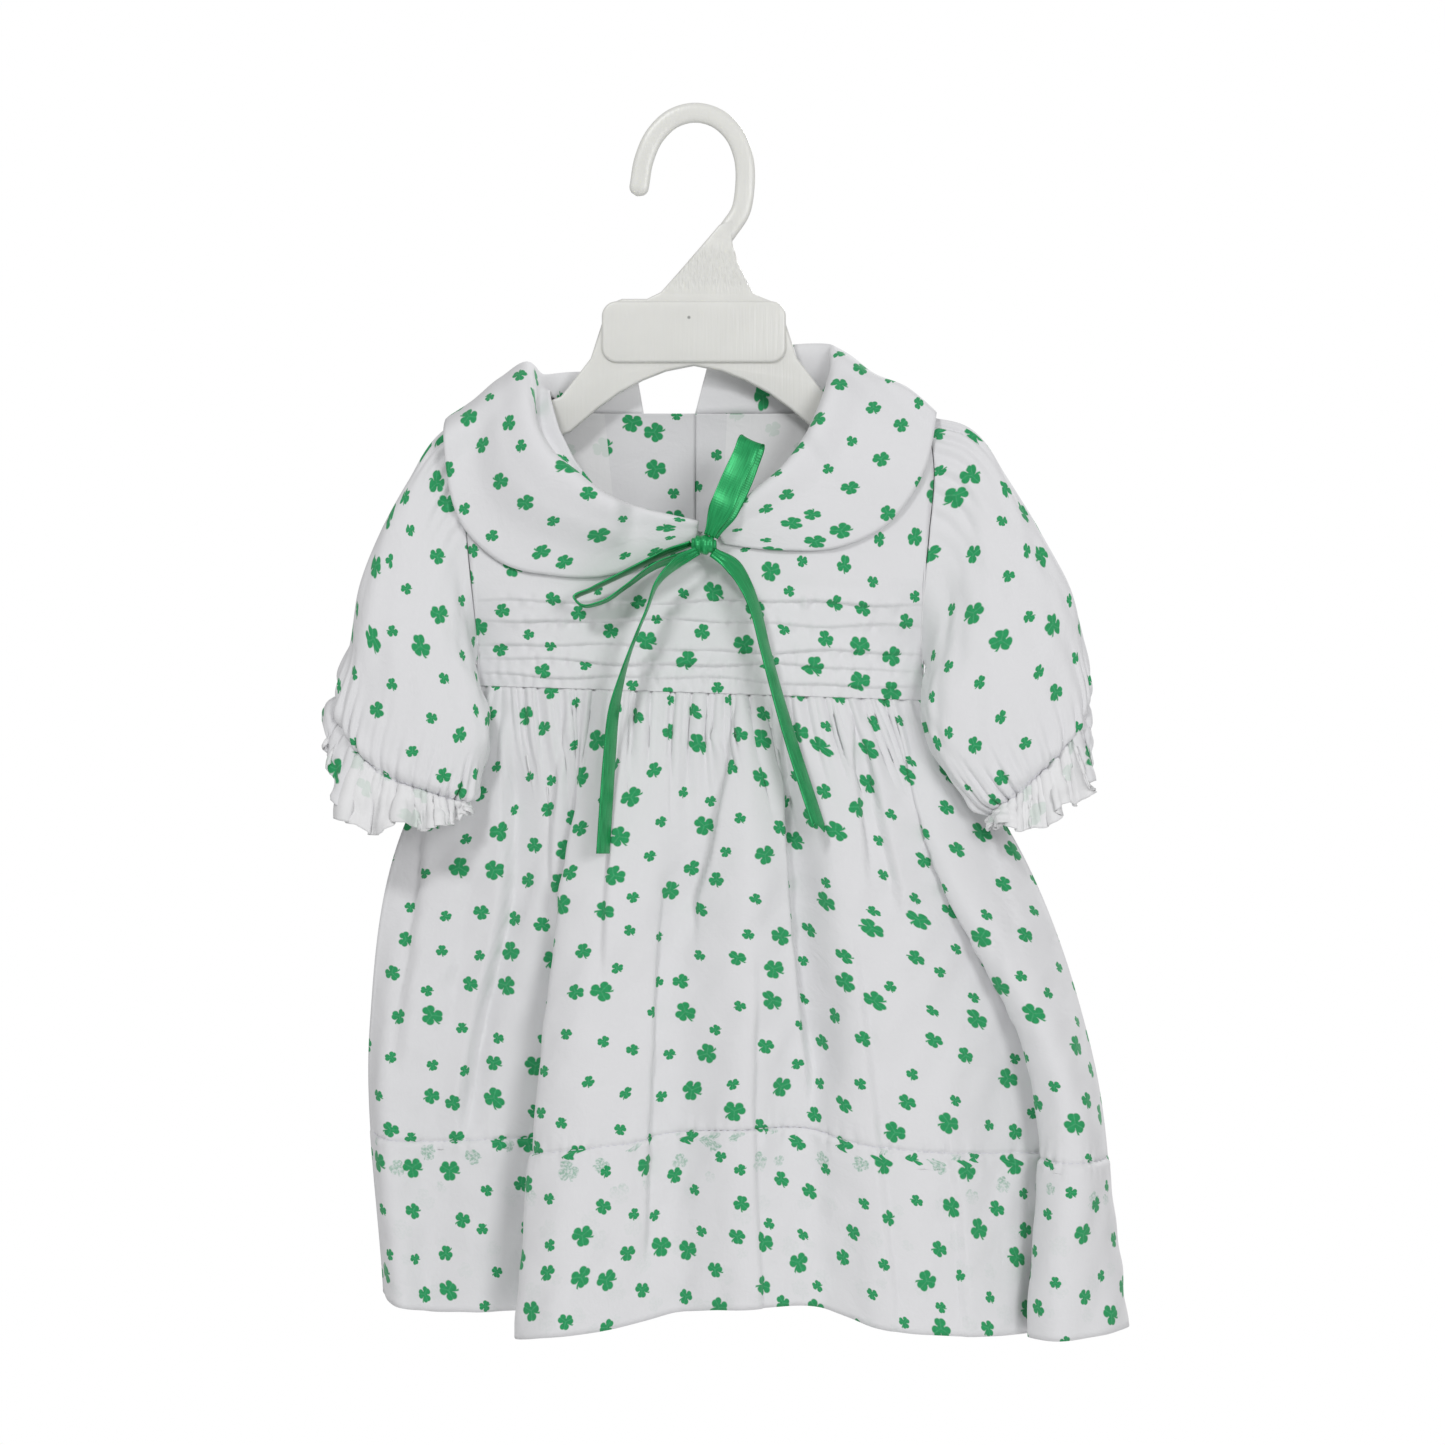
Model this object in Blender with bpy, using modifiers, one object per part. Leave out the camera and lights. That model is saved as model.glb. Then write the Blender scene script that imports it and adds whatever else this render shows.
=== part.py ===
# Baby dress with puffed sleeves and a ribbon bow, hung on its moulded hanger.
# Metres, +Z up, and the front faces -Y. The origin is the top of the hook's inner curve,
# where it rests on a rail. Every size and table below is in millimetres; MM turns it to metres.
# In the tables x runs across the dress, y from front (negative) to back, and z up.
import math
from collections import namedtuple

import bmesh
import bpy
from mathutils import Vector
from mathutils.bvhtree import BVHTree

MM = 0.001

# Cloth and seams
WALL = 1.2
HEM_WALL = 1.8
SEAM_GAP = 0.3
ARMHOLE_GAP = 0.8

# Body: how far the cloth stands in front of and behind the hanger, and how it turns over the shoulder
FRONT_DEPTH = 18.0
BACK_DEPTH = 12.0
SHOULDER_ROUND = 28.0
SHOULDER_SQUARENESS = 0.35
ARMHOLE_SHARE = 0.6
SIDE_SEAM_SHARE = 0.04
SHOULDER_CELLS = 4
YOKE_STEPS = 8
YOKE_Z = -190.0
YOKE_FOOT_Z = -199.0
BACK_LEVELS = (YOKE_Z, -208.0, -228.0)
ARMHOLE_CURVE_Z = -195.0
UNDERARM_Z = -230.0
UNDERARM_DEPTH = 1.8
WAIST_Z = -245.5
WAIST_TILT = -0.033
BODY_MIDDLE = 5.0

# Tucks across the front bodice: a sharp lower edge that stands out over the cloth below it
TUCK_EDGES = (-206.0, -214.5, -226.0, -232.5, -239.0)
TUCK_RELIEF = 1.8
TUCK_RETURN = 1.0
TUCK_SWAY = 0.9
TUCK_SWAY_LENGTH = 19.0
TUCK_SWELL_LENGTH = 31.0
TUCK_REACH = 97.0

# Gathers at the waist and waves of the cuffs
FRONT_GATHERS = 24
BACK_GATHERS = 16
COLUMNS_PER_GATHER = 4
GATHER_DEPTH = 1.3
GATHER_LENGTH = 0.2
HEM_LINE = 0.71
WAIST_ROWS = (0.0, 0.025, 0.07, 0.13, 0.2)
LOWER_ROWS = (0.28, 0.37, 0.46, 0.55, 0.63, HEM_LINE - 0.004, HEM_LINE, 0.8, 0.9, 1.0)
FOLD_SPREAD = 0.7
CUFF_WAVES = 14
CUFF_COLUMNS = 4 * CUFF_WAVES
CUFF_GATHER = 0.9
SLEEVE_SQUARENESS = 0.68
RUFFLE_WAVE = 2.8
SLEEVE_WAVES = (0.0,) * 6 + (CUFF_GATHER, 0.6 * RUFFLE_WAVE, RUFFLE_WAVE)

# Back closure: the right half lies outside the left one
LEFT_PLACKET_X = 2.0
RIGHT_PLACKET_X = -17.0
PLACKET_SHIFT = 0.75
LEFT_PLACKET_EASE = (-50.0, -20.0)
RIGHT_PLACKET_EASE = (35.0, 5.0)
PLACKET_FIRST_STEP = 4.0
BUTTON_X = -8.0
BUTTON_RADIUS = 4.5
BUTTON_THICKNESS = 2.0
BUTTON_EDGE = 0.5
BUTTON_HEIGHTS = (-143.0, -180.0, -217.0)

# Collar
COLLAR_ROLL = 1.4
COLLAR_BULGE = 1.0
COLLAR_PARTING = 1.5
COLLAR_CLEARANCE = 1.8
COLLAR_ROWS = (0.36, 0.7)
NECK_OVAL = (60.0, 15.0)
SETTLE_STEP = 0.1
SETTLE_ROUNDS = 120
UNDER_REACH = 8.0

# Ribbon
RIBBON_WIDTH = 10.0
RIBBON_WALL = 1.0
RIBBON_PINCH = 0.45
LOOP_POINTS = 22
TAIL_POINTS = 20
TAIL_SLANT = 3.0
PINCH_LENGTH = 13.0
KNOT_CENTRE = (6.0, -28.1, -183.0)
KNOT_RADII = (5.2, 4.6, 4.4)

# Hanger: a flat moulding with a thicker plate under the hook
HANGER_MIDDLE = 1.7
HANGER_THICKNESS = 5.0
HANGER_EDGE = 0.8
HOOK_WIDTH = 8.4
HOOK_POINTS = 26
ARCH_Z = -104.6
PLATE_THICKNESS = 8.4
PLATE_SIZE = (79.0, 26.4)
PLATE_CENTRE_Z = -90.4
PLATE_CORNER = 6.5
SHOULDER_CLEARANCE = 1.0

# Centre line of the hook from its tip to the neck of the hanger: x, z
HOOK_LINE = (
    (-21.9, -28.0),
    (-19.8, -16.3),
    (-15.0, -5.6),
    (-6.9, 1.9),
    (2.2, 4.2),
    (11.2, 2.0),
    (18.7, -4.6),
    (22.8, -14.0),
    (23.6, -28.0),
    (21.6, -38.5),
    (16.4, -46.4),
)
# Rounded tip of the hook, from its outer edge to its inner edge: x, z
HOOK_TIP = ((-24.6, -30.6), (-22.3, -31.6), (-20.0, -30.4))
# Edges of the neck between the hook and the plate, downward on the right, upward on the left: x, z
NECK_RIGHT = ((18.6, -52.2), (21.1, -61.1), (27.3, -73.8))
NECK_LEFT = ((-18.5, -76.0), (-12.5, -73.1), (-5.2, -64.9), (5.2, -52.9))
# Shoulder of the moulding beside the plate: distance from the hanger's middle, z
PLATE_SHOULDER = ((30.8, -76.0), (35.0, -77.6), (37.6, -80.6), (39.0, -85.0))
# Top edge of an arm, from the plate to the tip: distance from the hanger's middle, z
ARM_TOP = (
    (44.3, -101.5),
    (51.6, -111.0),
    (57.2, -118.0),
    (64.0, -120.5),
    (92.0, -127.5),
)
ARM_TIP = ((94.0, -131.5), (93.4, -136.2))
# Lower edge of an arm, from the tip to the middle: distance from the hanger's middle, z
ARM_BOTTOM = (
    (90.5, -138.5),
    (70.5, -139.0),
    (53.0, -133.0),
    (41.3, -123.0),
    (32.3, -116.5),
    (21.9, -110.9),
    (12.0, -107.0),
)

# Armholes and side seams: z, left x, right x
SIDES = (
    (-126.0, -94.0, 101.0),
    (-150.0, -96.0, 104.0),
    (-177.0, -95.0, 102.0),
    (-205.0, -92.5, 99.5),
    (-230.0, -91.0, 99.5),
    (-250.0, -92.0, 102.0),
)
LEFT_NECK_X = -60.0
RIGHT_NECK_X = 63.5
# Front neckline from the left shoulder to the right one: x, z
FRONT_NECK = (
    (LEFT_NECK_X, None),
    (-59.7, -119.2),
    (-58.8, -122.5),
    (-55.5, -133.0),
    (-48.5, -147.0),
    (-38.5, -160.0),
    (-26.0, -168.7),
    (-11.0, -173.8),
    (5.0, -177.0),
    (15.5, -174.0),
    (26.5, -166.0),
    (37.5, -156.0),
    (48.5, -143.0),
    (57.0, -130.0),
    (62.2, -122.0),
    (63.2, -119.2),
    (RIGHT_NECK_X, None),
)
# Back neckline from the left shoulder to the right one: x, z
BACK_NECK = (
    (LEFT_NECK_X, None),
    (-59.8, -118.9),
    (-58.8, -121.5),
    (-54.0, -123.5),
    (-43.0, -124.3),
    (-31.0, -124.5),
    (-20.0, -124.5),
    (-9.0, -124.5),
    (LEFT_PLACKET_X, -124.5),
    (16.0, -124.5),
    (31.0, -124.5),
    (45.0, -124.3),
    (57.0, -123.5),
    (62.3, -121.5),
    (63.3, -118.9),
    (RIGHT_NECK_X, None),
)

# Folds of the skirt, from the left side seam to the right one. Each row is a ridge or a
# valley of the cloth: its x at the waist, its x and y a quarter and a half of the way
# down, and its x, y and z at the hem.
Fold = namedtuple("Fold", "name waist upper middle hem")
SKIRT_LEVELS = (0.0, 0.26, 0.56, 1.0)
LEFT_SEAM = Fold("left side seam", -92.0, (-125.9, 3), (-137.6, 2), (-131.5, 2, -503))
RIGHT_SEAM = Fold("right side seam", 102.0, (144.5, 2), (171.7, -3), (183.6, -4, -515))
FRONT_FOLDS = (
    LEFT_SEAM,
    Fold("left flap ridge", -87, (-111.8, -2), (-127.3, -9), (-122.9, -10, -508)),
    Fold("left flap valley", -79, (-79.8, -10), (-105.3, -6), (-113.2, -4, -510)),
    Fold("recessed panel", -66, (-63.7, -15), (-81.0, -10), (-93.1, -8, -510)),
    Fold("valley behind the big fold", -47, (-47.5, -16), (-55.6, -6), (-66.5, -2, -511)),
    Fold("edge of the big fold", -40, (-51.0, -22), (-61.3, -28), (-72.0, -34, -517)),
    Fold("big fold ridge", -33, (-41.0, -27), (-49.2, -35), (-60.2, -42, -515)),
    Fold("panel", -14, (-18.7, -27), (-25.0, -32), (-31.1, -36, -512)),
    Fold("shallow valley", 10, (3.2, -21), (-4.8, -25), (-7.3, -27, -507)),
    Fold("middle ridge", 21, (23.5, -28), (22.2, -34), (22.2, -38, -504)),
    Fold("dark valley", 36, (43.0, -18), (49.3, -22), (56.0, -26, -505)),
    Fold("right ridge", 50, (60.2, -26), (69.7, -32), (80.0, -36, -512)),
    Fold("right panel", 68, (86.2, -22), (103.6, -29), (115.9, -34, -516)),
    Fold("valley behind the flap", 84, (105.6, -15), (147.0, -10), (152.1, -10, -518)),
    Fold("edge of the flap", 89, (104.6, -19), (142.7, -25), (145.2, -30, -517)),
    Fold("flap ridge", 93, (110.4, -21), (149.2, -32), (152.0, -38, -517)),
    Fold("right side ridge", 99, (141.0, -3), (168.8, -14), (184.1, -14, -515)),
    RIGHT_SEAM,
)
BACK_FOLDS = (
    LEFT_SEAM,
    Fold("ridge", -80, (-112, 9), (-122, 16), (-114, 24, -509)),
    Fold("valley", -60, (-84, 7), (-88, 10), (-84, 13, -511)),
    Fold("ridge", -42, (-56, 17), (-58, 27), (-56, 34, -513)),
    Fold("valley", -22, (-28, 11), (-30, 16), (-30, 19, -512)),
    Fold("ridge", 2, (2, 19), (4, 30), (6, 38, -511)),
    Fold("valley", 26, (32, 12), (36, 18), (40, 21, -512)),
    Fold("ridge", 48, (62, 18), (72, 29), (78, 36, -514)),
    Fold("valley", 70, (92, 9), (106, 13), (114, 16, -515)),
    Fold("ridge", 88, (120, 10), (144, 19), (156, 27, -515)),
    RIGHT_SEAM,
)

# Sleeves from the armhole to the ruffle. Each row is a section: the x and z of its outer
# and inner ends, its depth to the front and to the back, and the y of both ends.
Section = namedtuple("Section", "outer inner front back outer_y inner_y")
RIGHT_SLEEVE = (
    Section((117.6, -131.5), (102.6, -236.5), 11, 9, 0, -2),
    Section((135.0, -151.8), (102.2, -245.5), 13, 10, -1, -8),
    Section((149.0, -175.8), (101.5, -254.6), 15, 9, -3, -14),
    Section((160.5, -198.0), (103.6, -264.5), 16, 10, -6, -17),
    Section((167.6, -221.0), (109.0, -277.0), 16, 11, -9, -18),
    Section((169.4, -239.5), (118.0, -288.8), 14, 11, -12, -19),
    Section((163.4, -251.0), (126.2, -293.6), 11, 9, -14, -20),
    Section((167.5, -257.0), (128.8, -301.5), 12, 10, -14, -20),
    Section((172.0, -262.5), (131.8, -308.5), 13, 11, -15, -21),
)
LEFT_SLEEVE = (
    Section((-107.5, -135.0), (-93.6, -236.5), 11, 9, 0, -2),
    Section((-120.4, -154.0), (-93.0, -245.5), 13, 10, -1, -8),
    Section((-131.2, -176.5), (-89.0, -254.6), 15, 10, -3, -13),
    Section((-140.0, -198.2), (-87.0, -265.0), 16, 10, -6, -17),
    Section((-145.0, -221.0), (-88.2, -277.5), 16, 11, -9, -18),
    Section((-146.5, -240.0), (-91.8, -288.0), 14, 11, -12, -19),
    Section((-139.3, -251.2), (-94.3, -293.6), 11, 9, -14, -20),
    Section((-147.0, -256.0), (-96.5, -299.5), 12, 10, -14, -20),
    Section((-154.0, -261.0), (-99.0, -305.5), 13, 11, -15, -21),
)

# Collar halves from the centre front, over the shoulder, to the centre back. Each row is
# a section: its place along the neck from 0 to 1, the top of the roll, the x and z of the
# outer edge, the way the section faces (90 front, 0 up, -90 back), and its lift off the body.
Collar = namedtuple("Collar", "along roll edge face lift")
LEFT_COLLAR = (
    Collar(0.000, (4.0, -20.6, -173.2), (3.0, -181.0), 90, 2.3),
    Collar(0.100, (-9.0, -20.7, -170.4), (-9.5, -187.0), 90, 2.0),
    Collar(0.205, (-24.0, -20.7, -166.6), (-24.0, -193.0), 90, 1.8),
    Collar(0.300, (-37.5, -20.6, -160.5), (-42.0, -196.5), 90, 1.8),
    Collar(0.380, (-48.0, -20.3, -152.0), (-62.0, -195.0), 90, 1.9),
    Collar(0.475, (-58.0, -19.3, -143.5), (-81.0, -189.5), 90, 2.2),
    Collar(0.560, (-64.5, -16.0, -132.5), (-97.0, -174.0), 80, 3.2),
    Collar(0.650, (-66.5, -9.0, -120.0), (-103.5, -152.0), 55, 3.6),
    Collar(0.724, (-66.0, 0.0, -111.5), (-105.0, -133.5), 0, 2.6),
    Collar(0.800, (-58.0, 8.0, -108.5), (-100.5, -150.0), -60, 2.8),
    Collar(0.870, (-46.0, 11.5, -107.5), (-84.0, -170.0), -90, 2.2),
    Collar(0.940, (-34.0, 12.6, -108.5), (-55.0, -179.0), -90, 1.9),
    Collar(1.000, (-22.5, 12.8, -111.5), (-24.0, -168.0), -90, 1.9),
)
RIGHT_COLLAR = (
    Collar(0.000, (10.0, -20.6, -174.4), (14.5, -182.0), 90, 2.3),
    Collar(0.080, (17.5, -20.7, -168.6), (27.0, -184.0), 90, 2.0),
    Collar(0.190, (29.0, -20.7, -158.8), (44.0, -185.0), 90, 1.8),
    Collar(0.284, (40.0, -20.3, -149.3), (62.0, -184.0), 90, 1.9),
    Collar(0.360, (47.5, -18.6, -139.5), (78.5, -177.5), 90, 2.2),
    Collar(0.450, (53.8, -14.8, -128.0), (92.0, -165.0), 80, 2.8),
    Collar(0.515, (59.5, -9.5, -113.5), (101.0, -149.0), 60, 3.4),
    Collar(0.577, (63.0, -2.5, -101.0), (104.5, -135.0), 25, 3.4),
    Collar(0.625, (62.0, 4.5, -96.5), (105.5, -133.0), -15, 3.0),
    Collar(0.690, (53.0, 9.8, -94.8), (99.5, -152.0), -70, 2.6),
    Collar(0.780, (38.0, 12.0, -96.0), (80.0, -172.0), -90, 2.2),
    Collar(0.877, (22.0, 12.8, -99.5), (50.0, -179.0), -90, 1.9),
    Collar(1.000, (7.5, 12.8, -104.0), (11.0, -168.0), -90, 1.9),
)

# Ribbon pieces. Each row is a point on the strip's centre line, x, y, z, and the turn of
# its face in degrees: 0 faces the front, 90 is seen edge on.
LOOP_UP = (
    (9.4, -31.5, -178.0, 8),
    (14.6, -31.1, -165.0, 6),
    (21.0, -27.7, -149.0, 4),
    (25.2, -25.3, -140.5, 0),
    (26.4, -23.3, -138.2, 0),
    (26.2, -21.1, -139.4, 0),
    (23.0, -21.3, -150.0, 0),
    (17.0, -23.9, -163.5, 0),
    (10.4, -24.9, -178.2, 0),
)
LOOP_SIDE = (
    (0.0, -26.1, -182.2, 62),
    (-12.0, -28.3, -187.0, 68),
    (-28.0, -29.2, -194.4, 74),
    (-41.0, -28.7, -200.6, 76),
    (-47.2, -28.7, -205.0, 76),
    (-45.6, -28.7, -208.6, 76),
    (-37.0, -28.7, -207.6, 76),
    (-27.0, -29.2, -201.4, 74),
    (-16.0, -29.3, -193.0, 70),
    (-0.6, -27.6, -187.0, 62),
)
TAIL_LEFT = (
    (2.4, -32.9, -187.0, 30),
    (-6.0, -35.7, -191.6, 58),
    (-13.4, -36.2, -199.5, 74),
    (-17.5, -36.2, -210.0, 78),
    (-22.5, -35.7, -222.0, 74),
    (-28.0, -34.7, -236.0, 64),
    (-31.5, -33.7, -252.0, 56),
    (-33.5, -33.7, -272.0, 52),
    (-35.0, -34.7, -294.0, 52),
    (-36.2, -35.7, -313.0, 52),
)
TAIL_RIGHT = (
    (10.4, -30.1, -186.6, 20),
    (18.2, -31.2, -192.0, 36),
    (24.0, -32.2, -201.0, 46),
    (28.2, -32.7, -212.0, 50),
    (31.4, -32.7, -225.0, 52),
    (35.6, -32.7, -241.0, 52),
    (41.0, -33.2, -260.0, 50),
    (47.6, -33.7, -281.0, 50),
    (54.5, -34.7, -302.0, 50),
)


def blend(a, b, share):
    return a + (b - a) * share


def ease(start, end, value):
    share = min(max((value - start) / (end - start), 0.0), 1.0)
    return share * share * (3.0 - 2.0 * share)


def straight_between(rows, at):
    """Second column of a table at a value of its first column, on straight lines."""
    keys = [row[0] for row in rows]
    step = 1 if keys[-1] > keys[0] else -1
    index = 0
    while index < len(rows) - 2 and step * at > step * keys[index + 1]:
        index += 1
    (a, low), (b, high) = rows[index], rows[index + 1]
    return blend(low, high, (at - a) / (b - a))


def smooth_between(keys, values, at):
    """Value at a key, on a smooth curve through all the values. The keys rise."""
    last = len(keys) - 1
    at = min(max(at, keys[0]), keys[last])
    index = 0
    while index < last - 1 and at > keys[index + 1]:
        index += 1
    gaps = [keys[i + 1] - keys[i] for i in range(last)]
    rates = [(values[i + 1] - values[i]) / gaps[i] for i in range(last)]

    def slope(i):
        if i in (0, last):
            return rates[min(i, last - 1)]
        return (rates[i - 1] * gaps[i] + rates[i] * gaps[i - 1]) / (gaps[i - 1] + gaps[i])

    gap = gaps[index]
    share = (at - keys[index]) / gap
    bend = share * share * (3.0 - 2.0 * share)
    return (
        values[index] * (1.0 - bend)
        + values[index + 1] * bend
        + gap * slope(index) * share * (1.0 - share) ** 2
        - gap * slope(index + 1) * share * share * (1.0 - share)
    )


def even_points(points, count):
    """Points spaced evenly along a smooth curve through the given ones."""
    lengths = [0.0]
    for a, b in zip(points, points[1:]):
        lengths.append(lengths[-1] + math.dist(a, b))
    columns = list(zip(*points))
    places = [lengths[-1] * i / (count - 1) for i in range(count)]
    return [tuple(smooth_between(lengths, column, place) for column in columns) for place in places]


def side_x(z):
    """x of the left and of the right armhole or side seam."""
    heights = [-row[0] for row in SIDES]
    left = smooth_between(heights, [row[1] for row in SIDES], -z)
    right = smooth_between(heights, [row[2] for row in SIDES], -z)
    return left, right


def shoulder_z(x):
    """Height of the cloth where it passes over the hanger's arm."""
    reach = max(abs(x - HANGER_MIDDLE), -LEFT_NECK_X)
    return straight_between(ARM_TOP, reach) + WALL / 2 + SHOULDER_CLEARANCE


def waist_z(x):
    return WAIST_Z + WAIST_TILT * (x - BODY_MIDDLE)


def body_depth(x, z, full):
    """How far the body's cloth stands from the middle plane."""
    left, right = side_x(z)
    across = min(abs(x - (left + right) / 2) / ((right - left) / 2), 1.0)
    edge = blend(ARMHOLE_SHARE, SIDE_SEAM_SHARE, ease(ARMHOLE_CURVE_Z, UNDERARM_Z, z))
    fall = min(max(shoulder_z(x) - z, 0.0) / SHOULDER_ROUND, 1.0)
    over_shoulder = (1.0 - (1.0 - fall) ** 2) ** SHOULDER_SQUARENESS
    return full * (1.0 - (1.0 - edge) * across**3) * over_shoulder


def part_at_seam(row, index, neighbour, toward):
    """Draws a row's end point back from a seam in the middle plane, along y."""
    x, y, z = row[index]
    run = Vector((row[neighbour][0] - x, row[neighbour][1] - y))
    across = abs(run.x) / max(run.length, 1e-6)
    row[index] = (x, y + toward * (SEAM_GAP / 2 + WALL / 2 * across), z)


def join_rows(mesh, upper, lower, closed):
    """Faces between two rows of points; one row may have twice as many as the other."""
    ends = 0 if closed else 1
    if len(upper) - ends == len(lower) - ends:
        count = len(upper)
        for i in range(count - ends):
            j = (i + 1) % count
            mesh.faces.new((upper[i], lower[i], lower[j], upper[j]))
        return
    coarse, fine = (lower, upper) if len(upper) > len(lower) else (upper, lower)
    for i in range(len(coarse) - ends):
        j = (i + 1) % len(coarse)
        first, middle, last = fine[2 * i], fine[2 * i + 1], fine[(2 * i + 2) % len(fine)]
        faces = ((first, coarse[i], middle), (middle, coarse[i], coarse[j]), (middle, coarse[j], last))
        for face in faces:
            mesh.faces.new(face if coarse is lower else face[::-1])


def new_object(name, mesh, material):
    part = bpy.data.objects.new(name, mesh)
    mesh.materials.append(material)
    parts.objects.link(part)
    return part


def keep_with_parts(part):
    """Moves a primitive from the collection it was made in to the parts."""
    for collection in part.users_collection:
        collection.objects.unlink(part)
    parts.objects.link(part)


def cloth(name, rows, material, wall=WALL, closed=False, hem_from=None):
    """A wall of even thickness about the rows of points; a turned-up hem is thicker."""
    sheet = bmesh.new()
    lines = [[sheet.verts.new(Vector(point) * MM) for point in row] for row in rows]
    for upper, lower in zip(lines, lines[1:]):
        join_rows(sheet, upper, lower, closed)
    mesh = bpy.data.meshes.new(name)
    sheet.to_mesh(mesh)
    sheet.free()
    part = new_object(name, mesh, material)
    solid = part.modifiers.new("Wall", "SOLIDIFY")
    solid.thickness = wall * MM
    solid.offset = 0.0
    solid.use_quality_normals = True
    if hem_from is not None:
        group = part.vertex_groups.new(name="Turned-up hem")
        first = sum(len(row) for row in rows[:hem_from])
        group.add(list(range(first, len(mesh.vertices))), 1.0, "REPLACE")
        solid.thickness = HEM_WALL * MM
        solid.vertex_group = group.name
        solid.thickness_vertex_group = WALL / HEM_WALL
    return part


def surface_finish(name, colour, roughness):
    material = bpy.data.materials.new(name)
    material.use_nodes = True
    shader = material.node_tree.nodes["Principled BSDF"]
    shader.inputs["Base Color"].default_value = (*colour, 1.0)
    shader.inputs["Roughness"].default_value = roughness
    material.diffuse_color = (*colour, 1.0)
    return material


def top_edge(neck):
    """Top edge of the body, x and z: left shoulder, neckline, right shoulder."""
    left, right = side_x(SIDES[0][0])
    edge = []
    for i in range(SHOULDER_CELLS):
        x = blend(left, LEFT_NECK_X, i / SHOULDER_CELLS)
        edge.append((x, shoulder_z(x)))
    edge += [(x, shoulder_z(x) if z is None else z) for x, z in neck]
    for i in range(SHOULDER_CELLS):
        x = blend(RIGHT_NECK_X, right, (i + 1) / SHOULDER_CELLS)
        edge.append((x, shoulder_z(x)))
    return edge


def bodice_rows(edge, waist_range, full, levels, shift=None):
    """Rows of a bodice panel from its top edge to the waist. full is negative in front."""
    last = len(edge) - 1
    rows = []
    for row_index in range(YOKE_STEPS + len(levels)):
        row = []
        for column, (top_x, top_z) in enumerate(edge):
            waist_x = blend(waist_range[0], waist_range[1], column / last)
            relief = 0.0
            if row_index < YOKE_STEPS:
                z = blend(top_z, YOKE_Z, (row_index / YOKE_STEPS) ** 2)
            else:
                z, relief = levels[row_index - YOKE_STEPS](waist_x)
            x = blend(top_x, waist_x, (top_z - z) / (top_z - waist_z(waist_x)))
            left, right = side_x(z)
            if column == 0 and waist_range[0] < LEFT_NECK_X:
                x = left
            if column == last and waist_range[1] > RIGHT_NECK_X:
                x = right
            y = math.copysign(body_depth(x, z, abs(full)) + relief, full)
            if shift:
                y += shift(x)
            row.append((x, y, z))
        rows.append(row)
    return rows


def plain_level(z):
    """A level row of a bodice panel, which tilts with the waist as it nears it."""

    def level(x):
        tilt = (waist_z(x) - WAIST_Z) * ease(YOKE_Z, WAIST_Z, z)
        return z + tilt, 0.0

    return level


def tuck_level(z, relief, number):
    """One edge of a tuck: it sways a little and fades out at the side seams."""

    def level(x):
        sway = TUCK_SWAY * math.sin(x / TUCK_SWAY_LENGTH + 1.9 * number)
        fade = 1.0 - (abs(x - BODY_MIDDLE) / TUCK_REACH) ** 6
        uneven = 0.8 + 0.2 * math.sin(x / TUCK_SWELL_LENGTH + 2.7 * number)
        tilted, _ = plain_level(z)(x)
        return tilted + sway * fade, relief * uneven * max(fade, 0.0)

    return level


def waist_level(x):
    return waist_z(x) + SEAM_GAP / 2, 0.0


def draw_back_from_seams(rows, toward, at_start=True, at_end=True):
    for row in rows:
        if at_start:
            part_at_seam(row, 0, 1, toward)
        if at_end:
            part_at_seam(row, -1, -2, toward)


def draw_back_from_shoulder(rows, edge, toward):
    """Parts the top row from the other panel along the shoulder seams."""
    for column, (x, z) in enumerate(edge):
        if z > shoulder_z(x) - 0.01:
            a = Vector(rows[0][column])
            b = Vector(rows[1][column])
            across = abs(b.z - a.z) / (b - a).length
            rows[0][column] = (a.x, a.y + toward * (SEAM_GAP / 2 + WALL / 2 * across), a.z)


def make_bodice_front(material):
    edge = top_edge(FRONT_NECK)
    levels = [plain_level(YOKE_Z), plain_level(YOKE_FOOT_Z)]
    for number, z in enumerate(TUCK_EDGES):
        levels.append(tuck_level(z, TUCK_RELIEF, number))
        levels.append(tuck_level(z - TUCK_RETURN, 0.0, number))
    levels.append(waist_level)
    left, right = side_x(WAIST_Z)
    rows = bodice_rows(edge, (left, right), -FRONT_DEPTH, levels)
    draw_back_from_seams(rows[YOKE_STEPS:], -1)
    draw_back_from_shoulder(rows, edge, -1)
    cloth("bodice_front", rows, material)
    return rows


def make_bodice_backs(material):
    edge = top_edge(BACK_NECK)
    levels = [plain_level(z) for z in BACK_LEVELS] + [waist_level]
    left, right = side_x(WAIST_Z)

    def inward(x):
        return -PLACKET_SHIFT * ease(*LEFT_PLACKET_EASE, x)

    def outward(x):
        return PLACKET_SHIFT * ease(*RIGHT_PLACKET_EASE, x)

    left_edge = [point for point in edge if point[0] <= LEFT_PLACKET_X]
    right_edge = [point for point in edge if point[0] > RIGHT_PLACKET_X + PLACKET_FIRST_STEP]
    right_edge.insert(0, (RIGHT_PLACKET_X, right_edge[0][1]))

    left_rows = bodice_rows(left_edge, (left, LEFT_PLACKET_X), BACK_DEPTH, levels, inward)
    draw_back_from_seams(left_rows[YOKE_STEPS:], 1, at_end=False)
    draw_back_from_shoulder(left_rows, left_edge, 1)
    cloth("bodice_back_left", left_rows, material)

    right_rows = bodice_rows(right_edge, (RIGHT_PLACKET_X, right), BACK_DEPTH, levels, outward)
    draw_back_from_seams(right_rows[YOKE_STEPS:], 1, at_start=False)
    draw_back_from_shoulder(right_rows, right_edge, 1)
    cloth("bodice_back_right", right_rows, material)
    return left_rows, right_rows


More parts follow.
